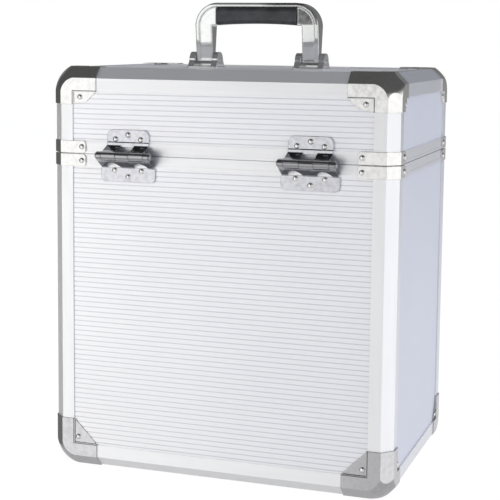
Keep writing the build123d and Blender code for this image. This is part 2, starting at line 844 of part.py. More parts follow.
def latch_plate(x):
    """Plate on the base with two ears that carry the lever's pivot."""
    side = latch_side(x)
    face = Plane(origin=(x, y_front - panel_face, z_seam), x_dir=-along_x, z_dir=along_y)
    ear = [
        (leaf_face, base_leaf_top), (latch_pivot_out, latch_eye_radius - latch_pivot_drop),
        (latch_pivot_out, -latch_eye_radius - latch_pivot_drop),
        (leaf_face, -2 * latch_eye_radius - latch_pivot_drop),
    ]
    with BuildPart() as plate:
        with BuildSketch(face) as outline:
            with Locations((0, base_leaf_top)):
                Rectangle(2 * latch_plate_half, latch_plate_height,
                          align=(Align.CENTER, Align.MAX))
            fillet(outline.vertices().group_by(Axis.Y)[0], latch_plate_round)
            rivet_holes(latch_base_rivets)
        extrude(amount=latch_sheet)
        for end in (-1, 1):
            bar(side, lambda: Polygon(*ear), end * latch_ear_middle, latch_sheet / 2)
            bar(side, pivot_eye, end * latch_ear_middle, latch_sheet / 2)
        with BuildSketch(side):
            with Locations(latch_pivot):
                Circle(latch_pin_radius + press_play)
        extrude(amount=latch_plate_half, both=True, mode=Mode.SUBTRACT)
    return plate.part


def latch_lever(x):
    """Lever in its closed place: two side walls, a notched front and a finger tab."""
    side = latch_side(x)
    wall = [
        (latch_pivot_out, latch_eye_radius - latch_pivot_drop),
        (lever_back, -lever_top_drop), (lever_back, -lever_bottom_drop),
        (lever_heel_out, -lever_bottom_drop), (latch_pivot_out, -latch_pivot_drop),
    ]
    front = [
        (lever_front_out, -lever_top_drop), (lever_back, -lever_top_drop),
        (lever_back, -lever_bottom_drop),
        (lever_back + lever_tab_out, -lever_bottom_drop - lever_tab_drop),
        (lever_front_out + lever_tab_out, -lever_bottom_drop - lever_tab_drop),
        (lever_front_out, -lever_bottom_drop),
    ]
    notch_height = lever_notch_drop - lever_top_drop
    notch = Plane(origin=(x, y_front + lever_front_out, z_seam),
                  x_dir=-along_x, z_dir=along_y)
    with BuildPart() as lever:
        for end in (-1, 1):
            bar(side, lambda: Polygon(*wall), end * lever_wall_middle, latch_sheet / 2)
            bar(side, pivot_eye, end * lever_wall_middle, latch_sheet / 2)
        bar(side, lambda: Polygon(*front), 0, lever_half)
        with BuildSketch(notch):
            with Locations((0, -lever_top_drop)):
                Rectangle(2 * (claw_half + lever_notch_play), notch_height,
                          align=(Align.CENTER, Align.MAX))
        extrude(amount=latch_sheet, mode=Mode.SUBTRACT)
        for centre, radius in ((latch_pivot, latch_pin_radius + running_play),
                               (claw_pin, claw_pin_radius + press_play)):
            with BuildSketch(side):
                with Locations(centre):
                    Circle(radius)
            extrude(amount=lever_half, both=True, mode=Mode.SUBTRACT)
    return lever.part


def lip_level(out):
    """Height of the top of the catch's lip, a distance out from the case."""
    return catch_lip_level + (out - latch_sheet) * tan(radians(catch_lip_slope))


def latch_claw(x):
    """Claw in its closed place: eye on the lever's crank, strap, and hook on the lip."""
    side = latch_side(x)
    gap = claw_clearance / cos(radians(catch_lip_slope))
    tip = latch_sheet + claw_hook_gap
    strap = catch_lip_out + claw_strap_gap
    outline = [
        (claw_root_out, -claw_root_drop), (strap, lip_level(strap) + gap),
        (tip, lip_level(tip) + gap), (tip, lip_level(tip) + gap + claw_hook_height),
        (strap + latch_sheet, lip_level(strap) + gap + claw_hook_height),
        (claw_root_out + latch_sheet, -claw_root_drop), claw_pin,
    ]
    with BuildPart() as claw:
        bar(side, lambda: Polygon(*outline), 0, claw_half)
        with BuildSketch(side):
            with Locations(claw_pin):
                Circle(claw_eye_radius)
        extrude(amount=claw_half, both=True)
        with BuildSketch(side):
            with Locations(claw_pin):
                Circle(claw_pin_radius + running_play)
        extrude(amount=claw_half, both=True, mode=Mode.SUBTRACT)
    return claw.part


def latch_catch(x):
    """Catch on the lid: plate stepped over the rim, with a lip that slopes up."""
    side = latch_side(x)
    step = lid_leaf_bottom + latch_sheet
    thickness = latch_sheet / cos(radians(catch_lip_slope))
    plate = [
        (0, catch_bottom), (latch_sheet, catch_bottom), (latch_sheet, step),
        (leaf_face, step), (leaf_face, catch_height), (-panel_face, catch_height),
        (-panel_face, lid_leaf_bottom), (0, lid_leaf_bottom),
    ]
    lip = [
        (latch_sheet, lip_level(latch_sheet)), (catch_lip_out, lip_level(catch_lip_out)),
        (catch_lip_out, lip_level(catch_lip_out) - thickness),
        (latch_sheet, lip_level(latch_sheet) - thickness),
        (latch_sheet / 2, lip_level(latch_sheet)),
    ]
    with BuildPart() as catch:
        bar(side, lambda: Polygon(*plate), 0, catch_half)
        bar(side, lambda: Polygon(*lip), 0, catch_lip_half)
        with BuildSketch(Plane(origin=(x, y_front - panel_face, z_seam),
                               x_dir=-along_x, z_dir=along_y)):
            rivet_holes(latch_lid_rivets, Mode.ADD)
        extrude(amount=latch_sheet, mode=Mode.SUBTRACT)
    return catch.part


def cross_pin(side, centre, radius, half):
    """Plain pin across a latch."""
    with BuildPart() as pin:
        with BuildSketch(side):
            with Locations(centre):
                Circle(radius)
        extrude(amount=half, both=True)
    return pin.part


def turned(piece, centre, angle):
    """A latch piece turned about a point of its side plane."""
    axis = Axis((0, y_front + centre[0], z_seam + centre[1]), (1, 0, 0))
    return piece.rotate(axis, angle)


left_latch_x = -latch_spacing / 2
left_side = latch_side(left_latch_x)
claw_turn = -claw_tilt_share * latch_open_angle - latch_open_angle
open_lever = turned(latch_lever(left_latch_x), latch_pivot, latch_open_angle)
open_claw_pin = turned(cross_pin(left_side, claw_pin, claw_pin_radius, lever_half),
                       latch_pivot, latch_open_angle)
open_claw = turned(turned(latch_claw(left_latch_x), claw_pin, claw_turn),
                   latch_pivot, latch_open_angle)
for name, piece in (("latch_lever", open_lever), ("claw_pin", open_claw_pin),
                    ("latch_claw", open_claw)):
    save(piece, f"{name}_left")
    save(mirrored(piece, across_width), f"{name}_right")
save(with_mirror(latch_plate(left_latch_x), across_width), "latch_plates")
save(with_mirror(latch_catch(left_latch_x), across_width), "latch_catches")
save(with_mirror(cross_pin(left_side, latch_pivot, latch_pin_radius, latch_plate_half),
                 across_width), "latch_lever_pins")


# ------------------------------------------------------------------ carrying handle
bow_half_width = handle_spacing / 2 + handle_arm_width / 2
arm_inner = bow_half_width - handle_arm_width
grip_top = handle_height - handle_strap - grip_play
grip_bottom = grip_top - grip_height
handle_front = Plane(origin=(0, y_middle, z_pivot), x_dir=along_x, z_dir=-along_y)
handle_side = Plane(origin=(0, y_middle, z_pivot), x_dir=along_y, z_dir=along_x)


def bow_outline(inset):
    """Outline of the bow, rounded at its upper corners and at the ends of its arms."""
    with BuildSketch(handle_front) as outline:
        with Locations((0, -handle_arm_half)):
            Rectangle(2 * (bow_half_width - inset), handle_height + handle_arm_half - inset,
                      align=(Align.CENTER, Align.MIN))
        fillet(outline.vertices().group_by(Axis.Y)[-1], handle_round - inset)
        with Locations((0, -handle_arm_half)):
            Rectangle(2 * arm_inner, grip_bottom + handle_arm_half - grip_play,
                      align=(Align.CENTER, Align.MIN), mode=Mode.SUBTRACT)
        with Locations((0, grip_bottom - 2 * grip_play)):
            Rectangle(2 * (grip_half_width + grip_play), grip_height + 3 * grip_play,
                      align=(Align.CENTER, Align.MIN), mode=Mode.SUBTRACT)
    return outline.sketch


def bow_side(thinner):
    """Side outline of the bow: round at the pivot, deepening up to the grip."""
    root = handle_arm_half - thinner / 2
    crown = handle_bow_half - thinner
    with BuildSketch(handle_side) as outline:
        Circle(root)
        Polygon((-root, 0), (root, 0), (crown, grip_bottom), (crown, handle_height),
                (-crown, handle_height), (-crown, grip_bottom))
    return outline.sketch


def bow_layer(thinner, inset):
    """The bow's outline carried through its side outline."""
    with BuildPart() as layer:
        extrude(bow_outline(0), amount=handle_bow_half, both=True)
        if inset:
            extrude(bow_outline(inset), amount=handle_bow_half, both=True,
                    mode=Mode.INTERSECT)
        extrude(bow_side(thinner), amount=bow_half_width, both=True, mode=Mode.INTERSECT)
    return layer.part


def handle_bow():
    """Bow of the handle: a rim band round thinner arms, bored for the pins."""
    with BuildPart() as band:
        add(bow_layer(0, 0))
        add(bow_layer(0, handle_strap), mode=Mode.SUBTRACT)
    with BuildPart() as bow:
        add(bow_layer(handle_web_step, 0))
        add(band.part)
        with BuildSketch(handle_side):
            Circle(handle_arm_half)
            Circle(handle_pin_radius + running_play, mode=Mode.SUBTRACT)
        extrude(amount=bow_half_width, both=True)
        with BuildSketch(handle_side):
            Circle(handle_arm_half)
        extrude(amount=arm_inner, both=True, mode=Mode.SUBTRACT)
        with BuildSketch(handle_side):
            Circle(handle_pin_radius + running_play)
        extrude(amount=bow_half_width, both=True, mode=Mode.SUBTRACT)
    return bow.part


def handle_grip():
    """Moulded grip under the strap, with rounded edges and an arched underside."""
    with BuildPart() as grip:
        with BuildSketch(handle_front):
            with BuildLine():
                Polyline((-grip_half_width, grip_bottom), (-grip_half_width, grip_top),
                         (grip_half_width, grip_top), (grip_half_width, grip_bottom))
                ThreePointArc((grip_half_width, grip_bottom), (0, grip_bottom + grip_arch),
                              (-grip_half_width, grip_bottom))
            make_face()
        extrude(amount=grip_half_depth, both=True)
        lower = grip.faces().sort_by(Axis.Y)
        fillet((lower[0].edges() + lower[-1].edges()).filter_by(Axis.Z, reverse=True),
               grip_round)
    return grip.part


def handle_bracket(x):
    """Bracket on the top panel: flared foot and two ears that carry the pin."""
    foot_level = -panel_face - handle_pivot_height
    ear = [
        (-bracket_half_depth, foot_level), (bracket_half_depth, foot_level),
        (bracket_ear_radius, 0), (-bracket_ear_radius, 0),
    ]
    ear_middle = (bracket_width - bracket_ear) / 2
    side = handle_side.offset(x)
    foot = Plane(origin=(x, y_middle, z_top - panel_face))
    with BuildPart() as bracket:
        for end in (-1, 1):
            bar(side, lambda: Polygon(*ear), end * ear_middle, bracket_ear / 2)
            bar(side, lambda: Circle(bracket_ear_radius), end * ear_middle, bracket_ear / 2)
        split(bisect_by=foot, keep=Keep.TOP)
        with BuildSketch(foot) as outline:
            Rectangle(bracket_width + 2 * bracket_flare, 2 * bracket_half_depth)
            fillet(outline.vertices(), bracket_round)
        extrude(amount=bracket_sheet)
        with BuildSketch(side):
            Circle(handle_pin_radius + press_play)
        extrude(amount=bracket_width, both=True, mode=Mode.SUBTRACT)
    return bracket.part


save(handle_bow(), "handle_bow")
save(handle_grip(), "handle_grip")
left_handle_x = -handle_spacing / 2
save(with_mirror(handle_bracket(left_handle_x), across_width), "handle_brackets")
left_handle_pin = cross_pin(handle_side.offset(left_handle_x), (0, 0), handle_pin_radius,
                            bracket_width / 2 + handle_pin_end)
save(with_mirror(left_handle_pin, across_width), "handle_pins")
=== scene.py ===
"""Looks of a record carrying case: ribbed silver walls in bevelled aluminium edging,
plated corners, stop hinges, draw latches, black foam inside and a folding handle.

Everything is in metres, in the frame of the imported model.
"""

import logging
import math
from collections.abc import Callable, Iterable, Sequence
from dataclasses import dataclass, field
from enum import Enum

import bmesh
import bpy
from mathutils import Matrix, Vector

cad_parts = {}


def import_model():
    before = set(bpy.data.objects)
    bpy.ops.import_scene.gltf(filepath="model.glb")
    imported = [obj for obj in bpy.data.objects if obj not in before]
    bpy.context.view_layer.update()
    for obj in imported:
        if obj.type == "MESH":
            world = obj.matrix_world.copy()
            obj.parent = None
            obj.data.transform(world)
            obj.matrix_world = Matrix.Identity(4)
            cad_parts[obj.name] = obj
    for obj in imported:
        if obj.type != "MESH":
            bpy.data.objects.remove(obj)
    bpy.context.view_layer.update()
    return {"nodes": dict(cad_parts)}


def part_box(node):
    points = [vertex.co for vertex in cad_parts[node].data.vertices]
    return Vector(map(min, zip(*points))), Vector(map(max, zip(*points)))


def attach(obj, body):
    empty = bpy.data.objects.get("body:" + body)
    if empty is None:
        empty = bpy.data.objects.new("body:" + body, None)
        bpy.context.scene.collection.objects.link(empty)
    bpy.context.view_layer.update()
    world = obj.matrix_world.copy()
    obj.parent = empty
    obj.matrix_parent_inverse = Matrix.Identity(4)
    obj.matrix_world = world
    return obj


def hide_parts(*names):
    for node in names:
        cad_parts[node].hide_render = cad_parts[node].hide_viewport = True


LOG = logging.getLogger("carrying_case")
Triple = tuple[float, float, float]
Pair = tuple[float, float]
Points = tuple[Pair, ...]
Socket = bpy.types.NodeSocket
PlaceTest = Callable[[Vector, Vector], bool]


class Grain(Enum):
    """Direction in which a metal was drawn or brushed, as a stretch of its pattern."""

    ALONG_X = (14.0, 1400.0, 1400.0)
    ALONG_Y = (1400.0, 14.0, 1400.0)
    ALONG_Z = (1400.0, 1400.0, 14.0)


class Side(Enum):
    """The two ribbed faces of the case, by the sign of their outward direction along Y."""

    HINGES = -1
    LATCHES = 1


class Half(Enum):
    """The two halves of the case, named as their bodies are."""

    BASE = "base"
    LID = "lid"


class Element(Enum):
    """What an editing step selects."""

    VERTEX = "VERT"
    EDGE = "EDGE"
    FACE = "FACE"


# ---------------------------------------------------------------------- finishes
class Tree:
    """A node tree, with the steps that finishes and surroundings share."""

    def __init__(self, tree: bpy.types.NodeTree) -> None:
        """Takes a tree and empties it."""
        self.tree = tree
        self.tree.nodes.clear()

    def add(self, kind: str, **settings: object) -> bpy.types.Node:
        """Adds a node.

        Args:
            kind: Its type, as bpy names it.
            **settings: Properties to set on it.

        Returns:
            The new node.
        """
        node = self.tree.nodes.new(kind)
        for key, value in settings.items():
            setattr(node, key, value)
        return node

    def join(self, source: Socket, target: Socket) -> None:
        """Links two sockets."""
        self.tree.links.new(source, target)

    def remap(
        self,
        value: Socket,
        source: Pair,
        target: Pair,
        interpolation: str = "LINEAR",
    ) -> Socket:
        """Maps a value from one range to another, clamped.

        Args:
            value: The value.
            source: Its range.
            target: The range to give it.
            interpolation: How it turns between them, as bpy names it.

        Returns:
            The mapped value.
        """
        node = self.add("ShaderNodeMapRange", interpolation_type=interpolation)
        for key, number in zip(("From Min", "From Max", "To Min", "To Max"), (*source, *target)):
            node.inputs[key].default_value = number
        self.join(value, node.inputs["Value"])
        return node.outputs["Result"]

    def math(
        self, operation: str, first: Socket, second: float | Socket
    ) -> Socket:
        """Adds a Math node.

        Args:
            operation: What it does, as bpy names it.
            first: The first value.
            second: The second value or number.

        Returns:
            Its result.
        """
        node = self.add("ShaderNodeMath", operation=operation)
        self.join(first, node.inputs[0])
        if isinstance(second, (int, float)):
            node.inputs[1].default_value = second
        else:
            self.join(second, node.inputs[1])
        return node.outputs[0]

    def blend(
        self,
        share: Socket,
        first: Triple | Socket,
        second: Triple | Socket,
    ) -> Socket:
        """Mixes two colours.

        Args:
            share: Share of the second colour.
            first: The colour at 0, or a socket that gives one.
            second: The colour at 1, or a socket that gives one.

        Returns:
            The mixed colour.
        """
        mix = self.add("ShaderNodeMix", data_type="RGBA")
        self.join(share, mix.inputs["Factor"])
        for slot, colour in ((6, first), (7, second)):
            if isinstance(colour, tuple):
                mix.inputs[slot].default_value = (*colour, 1.0)
            else:
                self.join(colour, mix.inputs[slot])
        return mix.outputs[2]


class Recipe(Tree):
    """The node tree of one finish, built round a single Principled shader."""

    def __init__(self, name: str) -> None:
        """Starts an empty material whose patterns read Object coordinates."""
        self.material = bpy.data.materials.new(name)
        self.material.use_nodes = True
        super().__init__(self.material.node_tree)
        self.shader = self.add("ShaderNodeBsdfPrincipled")
        output = self.add("ShaderNodeOutputMaterial")
        self.join(self.shader.outputs["BSDF"], output.inputs["Surface"])
        self.place = self.add("ShaderNodeTexCoord").outputs["Object"]

    def constants(self, **values: float) -> None:
        """Sets shader inputs that are the same all over, spaces written as underscores."""
        for key, value in values.items():
            self.shader.inputs[key.replace("_", " ")].default_value = value

    def axes(self) -> bpy.types.NodeOutputs:
        """Splits the coordinates into X, Y and Z."""
        split = self.add("ShaderNodeSeparateXYZ")
        self.join(self.place, split.inputs["Vector"])
        return split.outputs

    def stretched(self, stretch: Triple) -> Socket:
        """Gives the coordinates scaled along each axis."""
        mapping = self.add("ShaderNodeMapping")
        mapping.inputs["Scale"].default_value = stretch
        self.join(self.place, mapping.inputs["Vector"])
        return mapping.outputs["Vector"]

    def noise(
        self,
        scale: float,
        detail: float = 3.0,
        where: Socket | None = None,
    ) -> Socket:
        """Adds a noise pattern.

        Args:
            scale: Its scale, per metre unless the coordinates are stretched.
            detail: Its octaves.
            where: Coordinates, or None for the plain ones.

        Returns:
            Its value, about 0.5 on average.
        """
        pattern = self.add("ShaderNodeTexNoise")
        pattern.inputs["Scale"].default_value = scale
        pattern.inputs["Detail"].default_value = detail
        self.join(where or self.place, pattern.inputs["Vector"])
        return pattern.outputs[0]

    def cells(self, scale: float) -> Socket:
        """Adds rounded cells and gives the distance from their middles."""
        pattern = self.add("ShaderNodeTexVoronoi")
        pattern.inputs["Scale"].default_value = scale
        self.join(self.place, pattern.inputs["Vector"])
        return pattern.outputs["Distance"]

    def within(self, value: Socket, low: float, high: float) -> Socket:
        """Gives 1 where a value lies between two numbers, and 0 elsewhere."""
        above = self.math("GREATER_THAN", value, low)
        return self.math("MULTIPLY", above, self.math("LESS_THAN", value, high))

    def colours(self, share: Socket, first: Triple, second: Triple) -> None:
        """Patterns the base colour between two colours, by the share of the second."""
        self.join(self.blend(share, first, second), self.shader.inputs["Base Color"])

    def rough(self, pattern: Socket, source: Pair, target: Pair) -> None:
        """Patterns the roughness, from one range of the pattern to another of roughness."""
        self.join(self.remap(pattern, source, target), self.shader.inputs["Roughness"])

    def relief(
        self,
        height: Socket,
        depth: float,
        strength: float = 1.0,
        under: Socket | None = None,
    ) -> Socket:
        """Adds a bump and sends it to the shader.

        Args:
            height: The relief, from 0 to 1.
            depth: What 1 stands for, in metres.
            strength: Its strength.
            under: The normal of a coarser relief, or None.

        Returns:
            The bumped normal.
        """
        bump = self.add("ShaderNodeBump")
        bump.inputs["Strength"].default_value = strength
        bump.inputs["Distance"].default_value = depth
        self.join(height, bump.inputs["Height"])
        if under is not None:
            self.join(under, bump.inputs["Normal"])
        self.join(bump.outputs["Normal"], self.shader.inputs["Normal"])
        return bump.outputs["Normal"]


@dataclass(frozen=True)
class Finish:
    """A finish by name; each kind below writes its own recipe."""

    name: str

    def write(self, recipe: Recipe) -> None:
        """Fills in the recipe."""
        raise NotImplementedError

    def make(self) -> bpy.types.Material:
        """Makes the material, once."""
        known = bpy.data.materials.get(self.name)
        if known is not None:
            return known
        recipe = Recipe(self.name)
        self.write(recipe)
        return recipe.material


@dataclass(frozen=True)
class DrawnAluminium(Finish):
    """Satin anodised extrusion, with faint lines along its length."""

    grain: Grain = Grain.ALONG_X
    light: Triple = (0.965, 0.965, 0.965)
    dark: Triple = (0.90, 0.902, 0.91)
    metal: float = 0.72

    def write(self, recipe: Recipe) -> None:
        """Draws the die lines and the cloudy anodising."""
        lines = recipe.noise(1.0, 2.0, recipe.stretched(self.grain.value))
        clouds = recipe.noise(22.0, 3.0)
        recipe.constants(Metallic=self.metal)
        recipe.colours(recipe.math("MULTIPLY", lines, clouds), self.light, self.dark)
        recipe.rough(lines, (0.3, 0.7), (0.30, 0.40))
        recipe.relief(lines, 0.00001, 0.25)


@dataclass(frozen=True)
class BrightPlate(Finish):
    """Plated pressed steel: bright, a little wavy, with faint marks of handling."""

    light: Triple = (0.90, 0.895, 0.885)
    dark: Triple = (0.84, 0.84, 0.83)
    smooth: float = 0.08
    dull: float = 0.15
    wave: float = 0.00006
    wave_scale: float = 24.0
    metal: float = 1.0
    rounding: float = 0.0005

    def tint(self, recipe: Recipe, marks: Socket) -> Socket:
        """Gives the plate's colour by its marks."""
        return recipe.blend(recipe.remap(marks, (0.40, 0.75), (0.0, 1.0)), self.light, self.dark)

    def write(self, recipe: Recipe) -> None:
        """Draws marks in colour and roughness over a wavy sheet."""
        marks = recipe.noise(210.0, 4.0)
        sheet = recipe.noise(self.wave_scale, 0.0)
        recipe.constants(Metallic=self.metal)
        recipe.join(self.tint(recipe, marks), recipe.shader.inputs["Base Color"])
        recipe.rough(marks, (0.3, 0.7), (self.smooth, self.dull))
        edges = recipe.add("ShaderNodeBevel", samples=6)
        edges.inputs["Radius"].default_value = self.rounding
        recipe.relief(sheet, self.wave, 1.0, edges.outputs["Normal"])


@dataclass(frozen=True)
class CapPlate(BrightPlate):
    """The plate of the corner caps, with a painted shadow along the step down from frame to ear."""

    step_x: float = 0.1523
    step_low: float = 0.0237
    step_high: float = 0.3798
    face_middle: float = -0.005471
    face_half: float = 0.1170
    line: float = 0.00045
    shadow: Triple = (0.16, 0.16, 0.165)

    def tint(self, recipe: Recipe, marks: Socket) -> Socket:
        """Gives the plate's colour, with a painted shadow along the two lines of the step."""
        axes = recipe.axes()
        centred = recipe.math("SUBTRACT", axes["Y"], self.face_middle)
        on_face = recipe.within(recipe.math("ABSOLUTE", centred, 0.0), self.face_half, 1.0)
        across = recipe.math("ABSOLUTE", axes["X"], 0.0)
        middle = (self.step_low + self.step_high) / 2
        up = recipe.math("ABSOLUTE", recipe.math("SUBTRACT", axes["Z"], middle), 0.0)
        half = self.step_high - middle
        upright = recipe.math(
            "MULTIPLY",
            recipe.within(across, self.step_x - self.line, self.step_x + self.line),
            recipe.within(up, -1.0, half + self.line),
        )
        level = recipe.math(
            "MULTIPLY",
            recipe.within(up, half - self.line, half + self.line),
            recipe.within(across, -1.0, self.step_x + self.line),
        )
        step = recipe.math("MULTIPLY", recipe.math("MAXIMUM", upright, level), on_face)
        # painted shadow along the two lines of the step
        return recipe.blend(step, super().tint(recipe, marks), self.shadow)


@dataclass(frozen=True)
class HingePlate(BrightPlate):
    """The hinges' plate: pale where it lies on the case, with painted shade on the ramps and rings.
    """

    face: float = -0.124471
    ramp_painted_shade: Triple = (0.15, 0.15, 0.165)
    ring_painted_shade: Triple = (0.42, 0.42, 0.44)
    ramp_from: float = 0.0019
    ring_from: float = 0.0100

    def tint(self, recipe: Recipe, marks: Socket) -> Socket:
        """Gives the plate's colour, with painted shade by how far it stands out from the case."""
        axes = recipe.axes()
        out = recipe.math("MULTIPLY", recipe.math("SUBTRACT", axes["Y"], self.face), -1.0)
        on_ramp = recipe.remap(out, (self.ramp_from, self.ramp_from + 0.0008), (0.0, 1.0))
        on_ring = recipe.remap(out, (self.ring_from, self.ring_from + 0.0015), (0.0, 1.0))
        # painted shade: the ramps and the rings get darker the further they stand out from the case
        ramp = recipe.blend(on_ramp, super().tint(recipe, marks), self.ramp_painted_shade)
        return recipe.blend(on_ring, ramp, self.ring_painted_shade)


@dataclass(frozen=True)
class BowPlate(BrightPlate):
    """The bow's plate: bright on its front and arms, with a painted dark reflection along the
    rolled top.
    """

    rim: float = 0.4660
    fade: float = 0.0005
    rim_painted_reflection: Triple = (0.26, 0.265, 0.27)

    def tint(self, recipe: Recipe, marks: Socket) -> Socket:
        """Gives the plate's colour, with a painted dark reflection above the rim."""
        axes = recipe.axes()
        on_rim = recipe.remap(axes["Z"], (self.rim, self.rim + self.fade), (0.0, 1.0))
        # painted dark reflection: the rolled top above the rim level is coloured dark
        return recipe.blend(on_rim, super().tint(recipe, marks), self.rim_painted_reflection)


@dataclass(frozen=True)
class Laminate(Finish):
    """Silver laminate with a fine grain and a satin sheen."""

    light: Triple = (0.90, 0.895, 0.885)
    dark: Triple = (0.86, 0.857, 0.85)

    def shade(self, recipe: Recipe) -> Socket:
        """Gives the share of the darker colour: fine specks over slow clouds."""
        specks = recipe.noise(2600.0, 2.0)
        clouds = recipe.noise(9.0, 2.0)
        return recipe.math(
            "ADD",
            recipe.remap(specks, (0.35, 0.7), (0.0, 0.45)),
            recipe.remap(clouds, (0.35, 0.65), (0.0, 0.4)),
        )

    def write(self, recipe: Recipe) -> None:
        """Draws the plain laminate."""
        recipe.constants(Metallic=0.1)
        recipe.colours(self.shade(recipe), self.light, self.dark)
        recipe.rough(recipe.noise(120.0), (0.3, 0.7), (0.36, 0.46))
        recipe.relief(recipe.noise(1800.0, 2.0), 0.00002, 0.4)


@dataclass(frozen=True)
class RibbedLaminate(Laminate):
    """The laminate of the ribbed walls, with painted shade in its grooves."""

    pitch: float = 0.00495
    datum: float = 0.0
    groove: float = 0.0013
    shadow: Triple = (0.62, 0.625, 0.65)

    def write(self, recipe: Recipe) -> None:
        """Draws the laminate and paints shade into it towards the bottom of each groove."""
        axes = recipe.axes()
        level = recipe.math("SUBTRACT", axes["Z"], self.datum)
        turns = recipe.math("DIVIDE", level, self.pitch)
        away = recipe.math("PINGPONG", turns, 0.5)
        line = recipe.remap(away, (0.0, self.groove / self.pitch / 2), (1.0, 0.0))
        recipe.constants(Metallic=0.1)
        plain = recipe.blend(self.shade(recipe), self.light, self.dark)
        # painted shade: the laminate is darker towards the bottom of each groove
        recipe.join(recipe.blend(line, plain, self.shadow), recipe.shader.inputs["Base Color"])
        recipe.rough(recipe.noise(120.0), (0.3, 0.7), (0.34, 0.44))
        recipe.relief(recipe.noise(1800.0, 2.0), 0.00002, 0.4)


@dataclass(frozen=True)
class MouldedPlastic(Finish):
    """Black moulded plastic with a fine leathery grain."""

    light: Triple = (0.060, 0.062, 0.068)
    dark: Triple = (0.022, 0.022, 0.024)

    def write(self, recipe: Recipe) -> None:
        """Draws the grain and its worn, greyer tops."""
        grain = recipe.cells(900.0)
        wear = recipe.noise(60.0, 4.0)
        recipe.constants(Coat_Weight=0.15, Coat_Roughness=0.3)
        recipe.colours(recipe.remap(wear, (0.35, 0.75), (0.0, 1.0)), self.dark, self.light)
        recipe.rough(grain, (0.0, 0.8), (0.46, 0.32))
        recipe.relief(grain, 0.00006, 0.5)


@dataclass(frozen=True)
class NappedFoam(Finish):
    """Soft black foam with open cells and a dusty nap."""

    light: Triple = (0.075, 0.075, 0.080)
    dark: Triple = (0.018, 0.018, 0.020)

    def write(self, recipe: Recipe) -> None:
        """Draws the cells, the nap and slow dents."""
        cell = recipe.cells(700.0)
        nap = recipe.noise(420.0, 6.0)
        dents = recipe.noise(16.0, 2.0)
        recipe.constants(Roughness=0.95, Sheen_Weight=0.35, Sheen_Roughness=0.5)
        recipe.colours(recipe.math("MULTIPLY", cell, nap), self.dark, self.light)
        soft = recipe.relief(dents, 0.0012, 0.6)
        recipe.relief(cell, 0.0004, 0.7, soft)


RIVET_PLATE = BrightPlate("rivet plate", smooth=0.08, dull=0.18, wave=0.00002, rounding=0.0001)


